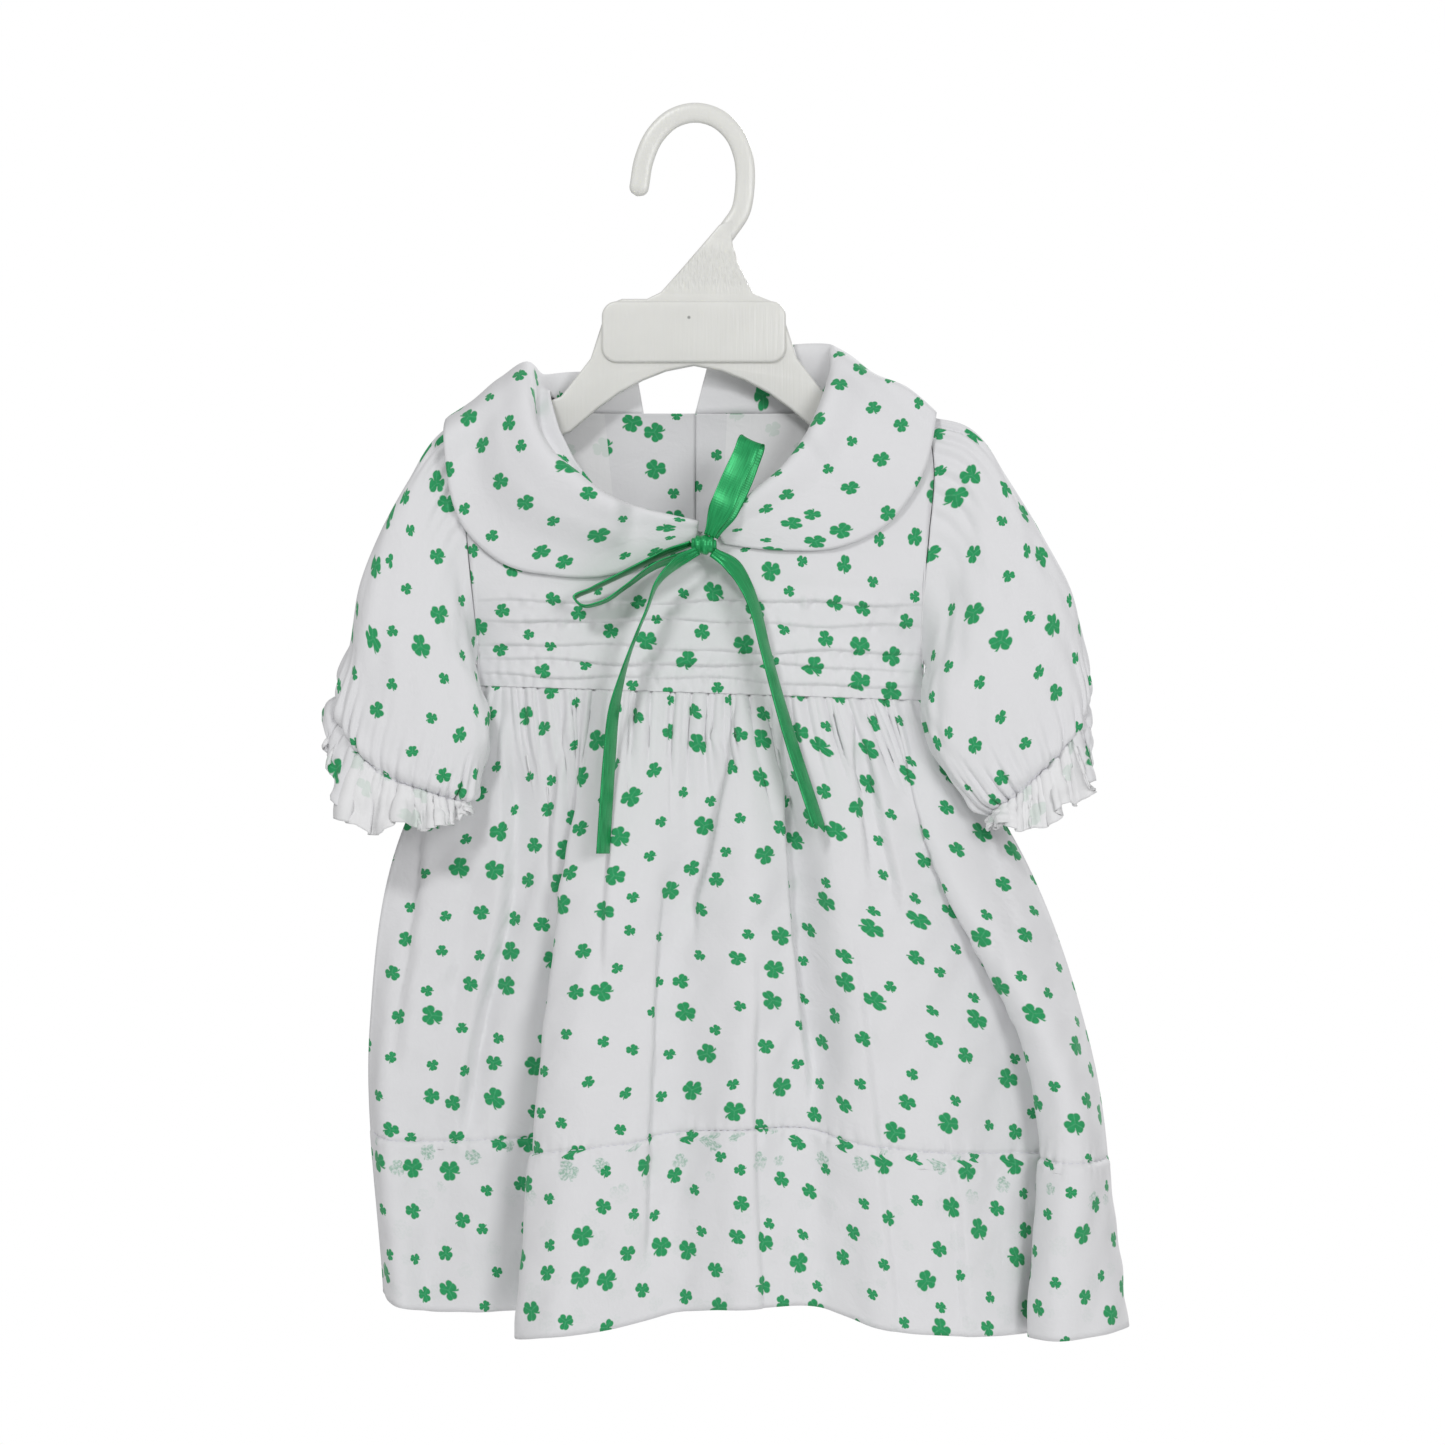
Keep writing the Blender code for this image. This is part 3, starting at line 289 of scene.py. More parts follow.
def blend(tree, share, first, second):
    # mixes two colours, each a hex code or a socket
    first, second = (linear(colour) if isinstance(colour, str) else colour for colour in (first, second))
    return addNode(tree, "ShaderNodeMix", {0: share, 6: first, 7: second}, data_type="RGBA").outputs[2]


def newMaterial(name, **sockets):
    material = bpy.data.materials.new(name)
    material.use_nodes = True
    tree = material.node_tree
    shader = tree.nodes["Principled BSDF"]
    setInputs(tree, shader, {key.replace("_", " "): value for key, value in sockets.items()})
    return material, tree, shader


clover = {
    "pitch": 17.0,  # mean distance between motifs
    "looseness": 0.52,  # how far a motif strays from the grid, as a share
    "small": 2.7,  # reach of a motif from its middle, three sizes
    "medium": 3.7,
    "large": 4.8,
    "leaf": "049857",
    "vein": "3aa56c",
    "edge": "0f7544",
}


def makeCloverPrint():
    # a three-leaved clover in each cell of a loose grid, turned and sized at random
    group = bpy.data.node_groups.new("cloverPrint", "ShaderNodeTree")
    for name, way, kind in (
            ("Cloth", "INPUT", "Vector"), ("Mask", "OUTPUT", "Float"), ("Vein", "OUTPUT", "Float")):
        group.interface.new_socket(name, in_out=way, socket_type=f"NodeSocket{kind}")

    def calc(operation, *inputs):
        return maths(group, operation, *inputs)

    def onVector(operation, inputs):
        return addNode(group, "ShaderNodeVectorMath", inputs, operation=operation)

    def turned(place, angle):
        inputs = {"Vector": place, "Angle": angle}
        return addNode(group, "ShaderNodeVectorRotate", inputs, rotation_type="Z_AXIS")

    cloth = turned(addNode(group, "NodeGroupInput"), 0.42)
    cells = onVector("SCALE", {0: cloth, "Scale": 1000 / clover["pitch"]})
    inputs = {"Vector": cells, "Scale": 1.0, "Randomness": clover["looseness"]}
    spots = addNode(group, "ShaderNodeTexVoronoi", inputs, voronoi_dimensions="2D")
    dice = addNode(group, "ShaderNodeSeparateColor", [spots.outputs["Color"]])
    local = onVector("SUBTRACT", [cells, spots.outputs["Position"]])
    isLarge = calc("GREATER_THAN", dice.outputs[1], 0.72)
    isMedium = calc("GREATER_THAN", dice.outputs[1], 0.38)
    reach = calc("MULTIPLY_ADD", isMedium, clover["medium"] - clover["small"], clover["small"])
    reach = calc("MULTIPLY_ADD", isLarge, clover["large"] - clover["medium"], reach)
    sized = onVector("SCALE", {0: local, "Scale": calc("DIVIDE", clover["pitch"], reach)})
    motif = turned(sized, calc("MULTIPLY_ADD", dice.outputs[0], 3.8, -2.3))
    x, y, _ = addNode(group, "ShaderNodeSeparateXYZ", [motif]).outputs
    # fold the plane to one leaf: a runs out along the leaf, b is the distance from its middle line
    leafTurn = 2 * math.pi / 3
    leaves = calc("DIVIDE", calc("ADD", calc("ARCTAN2", y, x), -math.pi / 2), leafTurn)
    off = calc("MULTIPLY", calc("SUBTRACT", leaves, calc("ROUND", leaves)), leafTurn)
    r = onVector("LENGTH", [motif]).outputs["Value"]
    a = calc("MULTIPLY", r, calc("COSINE", off))
    b = calc("ABSOLUTE", calc("MULTIPLY", r, calc("SINE", off)))
    # two round lobes and the wedge that joins them to the middle
    fromLobe = addNode(group, "ShaderNodeCombineXYZ", [calc("SUBTRACT", a, 0.56), calc("SUBTRACT", b, 0.20)])
    lobe = calc("SUBTRACT", onVector("LENGTH", [fromLobe]).outputs["Value"], 0.355)
    wedge = calc("MAXIMUM", calc("MULTIPLY_ADD", a, -1.3, b), calc("SUBTRACT", a, 0.42))
    # the leaves run together in the middle
    leaf = calc("MINIMUM", calc("MINIMUM", lobe, wedge), calc("SUBTRACT", r, 0.40))
    # a short curved stem between the two lower leaves
    curved = calc("MULTIPLY_ADD", calc("MULTIPLY", y, y), -0.25, x)
    stem = calc("SUBTRACT", calc("ABSOLUTE", curved), 0.09)
    stem = calc("MAXIMUM", calc("MAXIMUM", stem, calc("SUBTRACT", -1.0, y)), y)
    mask = ranged(group, calc("MINIMUM", leaf, stem), 0.05, -0.05)
    addNode(group, "NodeGroupOutput", [mask, ranged(group, b, 0.09, 0.0)])
    return group


cloverPrint = makeCloverPrint()

cotton = {
    "ground": "dcdcde",  # white cotton, a little grey
    "wrongSide": "e3e3e4",
    "hemGhost": "6da88b",  # the inner layer's print, seen through the hem
    "slub": 1.1,  # threads are 0.2 mm and would not show, so the weave is drawn this coarse
    "crumple": 14.0,
}
satin = {"shade": "11854a", "shine": "2aae66"}
plastic = {"dull": "d6d6d2", "bright": "dfdfdb", "gate": "8d8f8b"}


def printOn(tree, place):
    return addNode(tree, "ShaderNodeGroup", [place], node_tree=cloverPrint)


def cottonRelief(tree, cloth):
    # weave and small creases as bump
    thick, thin = 1000 / cotton["slub"], 400 / cotton["slub"]
    ways = ((thick, thin, 1), (thin, thick, 1))
    warp, weft = (noise(tree, stretched(tree, cloth, way), 1.0, 1.0) for way in ways)
    creases = noise(tree, cloth, 1000 / cotton["crumple"], 3.0, 0.8)
    return bump(tree, maths(tree, "ADD", warp, weft), 0.10, 0.0004, bump(tree, creases, 0.30, 0.0016))


def makePrintedCotton():
    # plain-woven cotton, printed on one side: dull, a little fuzzy, the ink slightly uneven
    material, tree, shader = newMaterial(
        "printed plain-weave cotton", Roughness=0.86, Sheen_Weight=0.18, Sheen_Roughness=0.5,
        Specular_IOR_Level=0.25
    )
    cloth = addNode(tree, "ShaderNodeUVMap", uv_map="flatCloth")
    motif = printOn(tree, cloth)
    uneven = noise(tree, cloth, 900.0)
    ink = blend(tree, motif.outputs["Vein"], clover["leaf"], clover["vein"])
    ink = blend(tree, ranged(tree, uneven, 0.35, 0.6, 0.0, 0.35), ink, clover["edge"])
    # under the turned-up hem the print of the inner layer shows through faintly
    hem = addNode(tree, "ShaderNodeAttribute", attribute_name="hemBand")
    inputs = {"Vector": cloth, "Location": (0.031, 0.047, 0), "Rotation": (0, 0, 0.9)}
    ghost = printOn(tree, addNode(tree, "ShaderNodeMapping", inputs))
    ghostShare = maths(tree, "MULTIPLY", ghost.outputs["Mask"], hem.outputs["Fac"])
    ghostShare = maths(tree, "MULTIPLY", ghostShare, ranged(tree, uneven, 0.4, 0.6, 0.15, 0.7))
    ground = blend(tree, ghostShare, cotton["ground"], cotton["hemGhost"])
    colour = blend(tree, maths(tree, "MULTIPLY", motif.outputs["Mask"], 0.97), ground, ink)
    setInputs(tree, shader, {"Base Color": colour, "Normal": cottonRelief(tree, cloth)})
    return material


def makeWrongSide():
    # the back of the same cloth: the print is only a pale shadow
    material, tree, shader = newMaterial(
        "cotton wrong side", Roughness=0.9, Sheen_Weight=0.18, Sheen_Roughness=0.5, Specular_IOR_Level=0.2
    )
    cloth = addNode(tree, "ShaderNodeUVMap", uv_map="flatCloth")
    faint = maths(tree, "MULTIPLY", printOn(tree, cloth).outputs["Mask"], 0.16)
    colour = blend(tree, faint, cotton["wrongSide"], clover["vein"])
    setInputs(tree, shader, {"Base Color": colour, "Normal": cottonRelief(tree, cloth)})
    return material


def makeSatin():
    # polyester satin: long floating threads along the ribbon give a soft, streaked shine; the base colour
    # also carries that shine as painted shade and painted sheen in streaks
    material, tree, shader = newMaterial(
        "green polyester satin", Roughness=0.34, Metallic=0.4, Anisotropic=0.5)
    cloth = addNode(tree, "ShaderNodeUVMap", uv_map="flatCloth")
    streaks = noise(tree, stretched(tree, cloth, (2400, 120, 1)), 1.0)
    # painted shade and painted sheen: the base colour runs in streaks between a darker and a lighter green
    colour = blend(tree, ranged(tree, streaks, 0.3, 0.7), satin["shade"], satin["shine"])
    ribs = addNode(tree, "ShaderNodeTexWave", {"Vector": cloth, "Scale": 300.0}, bands_direction="Y")
    relief = bump(tree, streaks, 0.1, 0.0002, bump(tree, ribs, 0.12, 0.0002))
    setInputs(tree, shader, {"Base Color": colour, "Normal": relief})
    return material


def makePolystyrene():
    # injection-moulded white polystyrene: even, faintly waxy, with fine drag lines from the tool
    material, tree, shader = newMaterial(
        "moulded white polystyrene", Roughness=0.36, IOR=1.59,
        Subsurface_Weight=0.25, Subsurface_Radius=(0.004, 0.004, 0.0035), Subsurface_Scale=1.0,
    )
    place = addNode(tree, "ShaderNodeTexCoord").outputs["Object"]
    colour = blend(tree, noise(tree, place, 60.0, 3.0), plastic["dull"], plastic["bright"])
    # the small grey mark where the plastic was let into the mould
    gate = addNode(tree, "ShaderNodeVectorMath", [place, (-0.0004, -0.0042, -0.0843)], operation="DISTANCE")
    colour = blend(tree, ranged(tree, gate.outputs["Value"], 0.0009, 0.0004), colour, plastic["gate"])
    relief = bump(tree, noise(tree, stretched(tree, place, (900, 900, 40)), 1.0), 0.22, 0.0006)
    # the web above the plate is rough, as the tool left it
    height = addNode(tree, "ShaderNodeSeparateXYZ", [place]).outputs[2]
    web = maths(tree, "MULTIPLY", ranged(tree, height, -0.074, -0.068), ranged(tree, height, -0.050, -0.056))
    rough = noise(tree, stretched(tree, place, (1100, 1100, 260)), 1.0, 3.0)
    relief = bump(tree, maths(tree, "MULTIPLY", rough, web), 0.8, 0.0012, relief)
    setInputs(tree, shader, {"Base Color": colour, "Normal": relief})
    return material


def makeCloudy(name, scale, distortion, dull, bright, **sockets):
    # a plain stuff whose colour clouds a little from place to place
    material, tree, shader = newMaterial(name, **sockets)
    place = addNode(tree, "ShaderNodeTexCoord").outputs["Object"]
    colour = blend(tree, noise(tree, place, scale, 2.0, distortion), dull, bright)
    setInputs(tree, shader, {"Base Color": colour})
    return material


printedCotton = makePrintedCotton()
wrongSide = makeWrongSide()
greenSatin = makeSatin()
polystyrene = makePolystyrene()
# cast polyester: hard, clean and glossy with a slight pearly cloud
buttonPlastic = makeCloudy("cast polyester button", 350.0, 2.0, "e4e4e2", "f3f3f1", Roughness=0.18, IOR=1.54)
# spun polyester sewing thread, dull white; its colour is greyed as painted shade along the stitch lines
threadWithPaintedShade = makeCloudy("white sewing thread", 1800.0, 0.0, "c2c2cc", "e2e2e6", Roughness=0.7)
print("materials made")

# the body of the dress: bodice front and two back halves

body = {
    "frontDepth": 18.0,
    "backDepth": 12.0,
    "shoulderRound": 28.0,
    "squareness": 0.35,
    "armholeShare": 0.6,
    "sideSeamShare": 0.04,
    "yokeZ": -190.0,
    "underarmZ": -230.0,
    "waistZ": -245.5,
    "waistTilt": -0.033,
    "middleX": 5.0,
    "leftPlacketX": 2.0,
    "rightPlacketX": -17.0,
    "placketShift": 0.75,
    "seamStep": 0.15 + 0.45,  # half of a seam's gap and half of a wall
    "facingX": -31.0,  # inner edge of the turned-in facing of the left back half
    "rightFacing": 29.0,  # width of the facing of the right one
    "frontRows": (56, 118),  # rows above and below the yoke line
    "backRows": (50, 60),
}
hangerMiddle = 1.7
armTop = np.array([(44.3, -101.5), (51.6, -111.0), (57.2, -118.0), (64.0, -120.5), (92.0, -127.5)])
armBottom = [
    (90.5, -138.5), (70.5, -139.0), (53.0, -133.0),
    (41.3, -123.0), (32.3, -116.5), (21.9, -110.9), (12.0, -107.0),
]
# armholes and side seams: z, left x, right x
sides = np.array([
    (-126.0, -94.0, 101.0), (-150.0, -96.0, 104.0), (-177.0, -95.0, 102.0),
    (-205.0, -92.5, 99.5), (-230.0, -91.0, 99.5), (-250.0, -92.0, 102.0),
])
# necklines from the left shoulder to the right one: x, z
frontNeck = [
    (-60.0, None), (-59.7, -119.2), (-58.8, -122.5), (-55.5, -133.0), (-48.5, -147.0), (-38.5, -160.0),
    (-26.0, -168.7), (-11.0, -173.8), (5.0, -177.0), (15.5, -174.0), (26.5, -166.0), (37.5, -156.0),
    (48.5, -143.0), (57.0, -130.0), (62.2, -122.0), (63.2, -119.2), (63.5, None),
]
backNeck = [
    (-60.0, None), (-59.8, -118.9), (-58.8, -121.5), (-54.0, -123.5), (-43.0, -124.3), (-31.0, -124.5),
    (-20.0, -124.5), (-9.0, -124.5), (2.0, -124.5), (16.0, -124.5), (31.0, -124.5), (45.0, -124.3),
    (57.0, -123.5), (62.3, -121.5), (63.3, -118.9), (63.5, None),
]
tucks = {
    "edges": (-206.0, -214.5, -226.0, -232.5, -239.0),  # z of each tuck's lower edge
    "relief": 1.8,
    "turnUnder": 1.1,
    "sway": 0.9,
    "pucker": 0.65,
}


def sideX(z):
    return smoothThrough(-sides[:, 0], sides[:, 1], -z), smoothThrough(-sides[:, 0], sides[:, 2], -z)


def shoulderZ(x):
    return straightThrough(armTop[:, 0], armTop[:, 1], np.maximum(np.abs(x - hangerMiddle), 60.0)) + 1.6


def waistZ(x):
    return body["waistZ"] + body["waistTilt"] * (x - body["middleX"])


def bodyDepth(x, z, full):
    # how far the cloth stands from the middle plane
    left, right = sideX(z)
    across = np.minimum(np.abs(x - (left + right) / 2) / ((right - left) / 2), 1.0)
    edge = mix(body["armholeShare"], body["sideSeamShare"], ramp(-195.0, body["underarmZ"], z))
    fall = np.clip((shoulderZ(x) - z) / body["shoulderRound"], 0.0, 1.0)
    return full * (1.0 - (1.0 - edge) * across**3) * (1.0 - (1.0 - fall) ** 2) ** body["squareness"]


def topEdge(neck):
    left, right = (float(edge) for edge in sideX(np.float64(sides[0, 0])))
    edge = [(x, float(shoulderZ(x))) for x in np.linspace(left, -60.0, 5)[:-1]]
    edge += [(x, float(shoulderZ(x)) if z is None else z) for x, z in neck]
    edge += [(x, float(shoulderZ(x))) for x in np.linspace(63.5, right, 5)[1:]]
    return np.array(edge)


def finer(points, steps):
    # the same line with each of its parts cut into equal steps
    at = np.linspace(0, len(points) - 1, (len(points) - 1) * steps + 1)
    return np.stack([np.interp(at, range(len(points)), points[:, k]) for k in range(points.shape[1])], axis=1)


def bodicePanel(edge, waistRange, full, rows, relief, shift=None):
    # rows from the top edge down to the waist seam, columns from left to right
    topX, topZ = edge[:, 0], edge[:, 1]
    waistX = np.linspace(waistRange[0], waistRange[1], len(edge))
    yoke = (np.linspace(0, 1, rows[0], endpoint=False) ** 1.6)[:, None]
    upperZ = mix(topZ, body["yokeZ"], yoke)
    level = np.linspace(body["yokeZ"], body["waistZ"] + 0.05, rows[1])[:, None]
    lowerZ = level + (waistZ(waistX) - body["waistZ"]) * ramp(body["yokeZ"], body["waistZ"], level)
    z = np.concatenate([upperZ, lowerZ])
    x = mix(topX, waistX, (topZ - z) / (topZ - waistZ(waistX)))
    left, right = sideX(z)
    if waistRange[0] < -50:
        x[:, 0] = left[:, 0]
    if waistRange[1] > 50:
        x[:, -1] = right[:, -1]
    y = np.sign(full) * (bodyDepth(x, z, abs(full)) + relief(x, z)) + (shift(x) if shift else 0.0)
    return np.stack([x, y, z], axis=2)


def onShoulder(edge):
    # the columns whose top point lies on the shoulder seam
    return (edge[:, 1] > shoulderZ(edge[:, 0]) - 0.01).nonzero()[0]


def drawBack(grid, toward, firstRow, shoulder, start=True, end=True):
    # parts a panel from its neighbour along the side seams and the shoulder seams
    step = body["seamStep"] * toward
    if start:
        grid[firstRow:, 0, 1] += step
    if end:
        grid[firstRow:, -1, 1] += step
    grid[0, shoulder, 1] += step


def tuckRelief(x, z):
    # each tuck swells down to a sharp edge, turns under, and puckers a little along its stitching
    level = z - (waistZ(x) - body["waistZ"]) * ramp(body["yokeZ"], body["waistZ"], z)
    fade = np.clip(1.0 - (np.abs(x - body["middleX"]) / 97.0) ** 6, 0.0, 1.0)
    total = np.zeros_like(z)
    above = np.full_like(z, -199.0)
    for number, edge in enumerate(tucks["edges"]):
        edgeZ = edge + fade * (
            tucks["sway"] * np.sin(x / 19.0 + 1.9 * number) + 0.5 * np.sin(x / 7.3 + 3.1 * number))
        tall = tucks["relief"] * (0.8 + 0.2 * np.sin(x / 31.0 + 2.7 * number)) * fade
        swell = np.clip((above - level) / (above - edgeZ), 0.0, 1.0) ** 1.7
        under = np.clip((level - edgeZ) / tucks["turnUnder"] + 1.0, 0.0, 1.0)
        total += tall * np.where(level >= edgeZ, swell, under)
        above = edgeZ - tucks["turnUnder"]
        pucker = wander(x, level * 0.3, 40 + number, 3.2, 7.0)
        total += tucks["pucker"] * fade * bell(level - above, 2.6) * pucker
    total += 0.4 * fade * bell(level - body["waistZ"], 3.5) * wander(x, level * 0.2, 51, 3.0, 6.0)
    return total


def frontRelief(x, z):
    sag = 0.5 * ramp(-150.0, -185.0, z) * ramp(-202.0, -192.0, z) * wander(x, z, 12, 24.0, 60.0)
    return tuckRelief(x, z) + sag


frontEdge = finer(topEdge(frontNeck), 8)
leftWaist, rightWaist = (float(edge) for edge in sideX(np.float64(body["waistZ"])))
frontGrid = bodicePanel(
    frontEdge, (leftWaist, rightWaist), -body["frontDepth"], body["frontRows"], frontRelief)
drawBack(frontGrid, -1, body["frontRows"][0], onShoulder(frontEdge))
sewn("frontBodice", "bodice_front", frontGrid)

backEdge = topEdge(backNeck)
leftEdge = finer(backEdge[backEdge[:, 0] <= body["leftPlacketX"]], 8)
rightEdge = backEdge[backEdge[:, 0] > body["rightPlacketX"] + 4.0]
rightEdge = finer(np.vstack([[body["rightPlacketX"], rightEdge[0, 1]], rightEdge]), 8)


def backRelief(x, z):
    pucker = 0.5 * bell(z - waistZ(x), 6.0) * wander(x, z * 0.2, 61, 3.5, 8.0)
    pucker = pucker * ramp(0.0, 6.0, np.abs(x + 8.0) - 10.0)
    return pucker + 0.5 * wander(x, z, 62, 30.0, 70.0) * ramp(0.0, 14.0, np.abs(x + 8.0) - 12.0)


leftBackGrid = bodicePanel(
    leftEdge, (leftWaist, body["leftPlacketX"]), body["backDepth"], body["backRows"], backRelief,
    shift=lambda x: -body["placketShift"] * ramp(-50.0, -20.0, x),
)
rightBackGrid = bodicePanel(
    rightEdge, (body["rightPlacketX"], rightWaist), body["backDepth"], body["backRows"], backRelief,
    shift=lambda x: body["placketShift"] * ramp(35.0, 5.0, x),
)
drawBack(leftBackGrid, 1, body["backRows"][0], onShoulder(leftEdge), end=False)
drawBack(rightBackGrid, 1, body["backRows"][0], onShoulder(rightEdge), start=False)
leftBack = sewn("leftBackBodice", "bodice_back_left", leftBackGrid, flip=True)
rightBack = sewn("rightBackBodice", "bodice_back_right", rightBackGrid, flip=True)


def showFacing(piece, grid, isFacing):
    # where the opening's edge is turned in, the printed side shows inside too,
    # as far as one line of the weave
    for _ in range(2):
        piece.data.materials.append(printedCotton)
    across = grid.shape[1] - 1
    isTurnedIn = isFacing(grid[len(grid) // 2, :-1, 0])
    for face in piece.data.polygons:
        if isTurnedIn[face.index % across]:
            face.material_index = 2


showFacing(leftBack, leftBackGrid, lambda x: x > body["facingX"])
showFacing(rightBack, rightBackGrid, lambda x: x < body["rightPlacketX"] + body["rightFacing"])
print("bodice made")

# skirt: two gathered panels

skirt = {
    "levels": (0.0, 0.26, 0.56, 1.0),
    "length": 265.0,
    "frontGathers": 24,
    "backGathers": 16,
    "gatherDepth": 1.2,
    "pleatWave": 0.6,
    "softWave": 0.9,
    "crumple": 0.34,
    "hemLine": 0.71,  # place of the hem's stitching, as a share of the skirt's length
    "hemDip": 0.024,  # how much lower it lies at the side seams
    "stitchLift": 0.62,  # height of its thread over the middle of the cloth
    "hemStep": 0.7,  # how far the cloth stands out below that line
    "hemWall": 1.5,
    "singleShare": 0.6,  # thickness above the hem, as a share of that
    "rows": 112,
    "frontColumns": 310,
    "backColumns": 260,
}
# ridges and valleys: x at the waist; x, y a quarter down; x, y half way down; x, y, z at the hem
leftSeam = (-92.0, (-125.9, 3), (-137.6, 2), (-131.5, 2, -503))
rightSeam = (102.0, (144.5, 2), (171.7, -3), (183.6, -4, -515))
frontFolds = [
    leftSeam,
    (-87, (-111.8, -2), (-127.3, -9), (-122.9, -10, -508)),
    (-79, (-79.8, -10), (-105.3, -6), (-113.2, -4, -510)),
    (-66, (-63.7, -15), (-81.0, -10), (-93.1, -8, -510)),
    (-47, (-47.5, -16), (-55.6, -6), (-66.5, -2, -511)),
    (-40, (-51.0, -22), (-61.3, -28), (-72.0, -34, -517)),
    (-33, (-41.0, -27), (-49.2, -35), (-60.2, -42, -515)),
    (-14, (-18.7, -27), (-25.0, -32), (-31.1, -36, -512)),
    (10, (3.2, -21), (-4.8, -25), (-7.3, -27, -507)),
    (21, (23.5, -28), (22.2, -34), (22.2, -38, -504)),
    (36, (43.0, -18), (49.3, -22), (56.0, -26, -505)),
    (50, (60.2, -26), (69.7, -32), (80.0, -36, -512)),
    (68, (86.2, -22), (103.6, -29), (115.9, -34, -516)),
    (84, (105.6, -15), (147.0, -10), (152.1, -10, -518)),
    (89, (104.6, -19), (142.7, -25), (145.2, -30, -517)),
    (93, (110.4, -21), (149.2, -32), (152.0, -38, -517)),
    (99, (141.0, -3), (168.8, -14), (184.1, -14, -515)),
    rightSeam,
]
backFolds = [
    leftSeam,
    (-80, (-112, 9), (-122, 16), (-114, 24, -509)),
    (-60, (-84, 7), (-88, 10), (-84, 13, -511)),
    (-42, (-56, 17), (-58, 27), (-56, 34, -513)),
    (-22, (-28, 11), (-30, 16), (-30, 19, -512)),
    (2, (2, 19), (4, 30), (6, 38, -511)),
    (26, (32, 12), (36, 18), (40, 21, -512)),
    (48, (62, 18), (72, 29), (78, 36, -514)),
    (70, (92, 9), (106, 13), (114, 16, -515)),
    (88, (120, 10), (144, 19), (156, 27, -515)),
    rightSeam,
]
# sharp folds of the front: points x, z down the fold; height; how far it fades; side that stands proud;
# how deep the cloth sinks beside it
creases = [
    ([(-77, -260), (-78, -297), (-79, -331), (-90, -382), (-97, -420)], 3.2, 15.0, -1, 7.0),
    ([(8, -254), (11, -263), (15, -272)], 1.7, 4.0, -1, 2.0),
    ([(20, -254), (18, -269), (13, -294), (9, -313), (3, -332)], 2.3, 9.0, 1, 3.6),
    ([(39, -260), (40, -296), (42, -330), (45, -364), (50, -404)], 3.2, 14.0, -1, 6.0),
    ([(69, -256), (70, -279), (73, -296), (75, -313)], 1.9, 6.0, -1, 2.2),
    ([(74, -258), (78, -279), (83, -305), (88, -326)], 2.3, 9.0, 1, 3.2),
    ([(131, -327), (131, -352)], 1.2, 7.0, 1, 1.4),
    ([(-52, -256), (-56, -280), (-59, -312), (-58, -336)], 1.8, 8.0, 1, 2.2),
    ([(-112, -290), (-117, -340), (-124, -396)], 2.2, 13.0, 1, 2.6),
    ([(-28, -260), (-33, -300), (-36, -352)], 1.6, 12.0, 1, 1.9),
    ([(104, -420), (112, -452), (116, -505)], 1.6, 15.0, 1, 1.9),
    ([(-12, -330), (-16, -400), (-19, -470)], 1.7, 16.0, -1, 2.0),
    ([(28, -360), (27, -430), (30, -500)], 1.4, 14.0, -1, 1.7),
    ([(70, -350), (78, -420), (86, -500)], 1.5, 14.0, -1, 1.8),
    ([(-96, -300), (-99, -340), (-104, -380)], 1.4, 9.0, -1, 1.7),
    ([(112, -262), (126, -300), (140, -345)], 1.4, 9.0, 1, 1.7),
]


def creaseRelief(x, z):
    total = np.zeros_like(x)
    for points, height, width, proud, sunk in creases:
        points = np.array(points, float)
        lineX = smoothThrough(-points[:, 1], points[:, 0], -z)
        top, foot = points[0, 1], points[-1, 1]
        shown = ramp(top + 8.0, top - 6.0, z) * ramp(foot - 22.0, foot + 6.0, z)
        away = (x - lineX) * proud
        onTop = 0.5 + 0.5 * np.tanh(away / 0.8)
        raised = height * onTop * np.exp(-np.abs(away) / width)
        hollow = sunk * (1.0 - onTop) * np.exp(-((np.abs(away) / (0.9 * width)) ** 1.4))
        total += shown * (raised - hollow * ramp(top - 2.0, top - 34.0, z))
    return total


def gatherWave(share, down, gathers):
    # gathers under the waist seam: deeper a little way down, then they run out at different lengths
    number = np.round(share * gathers)
    depth = skirt["gatherDepth"] * (0.8 + 0.25 * np.sin(2.3 * number))
    length = 0.2 + 0.07 * np.sin(1.7 * number + 1.0)
    fade = (0.7 + 0.3 * ramp(0.0, 0.05, down)) * (1.0 - ramp(0.25 * length, length, down))
    coarse = depth * fade * np.cos(2 * math.pi * gathers * share)
    drift = 2.1 * gathers * share + 0.35 * np.sin(9.0 * share * 6.28) + 0.2 * np.sin(23.0 * share * 6.28)
    fine = skirt["pleatWave"] * (1.0 - ramp(0.02, 0.17, down)) * np.cos(2 * math.pi * drift)
    return (coarse + fine) * ramp(0.0, 0.03, share) * ramp(1.0, 0.97, share)


def hemLevel(share):
    return skirt["hemLine"] + skirt["hemDip"] * (2.0 * share - 1.0) ** 2


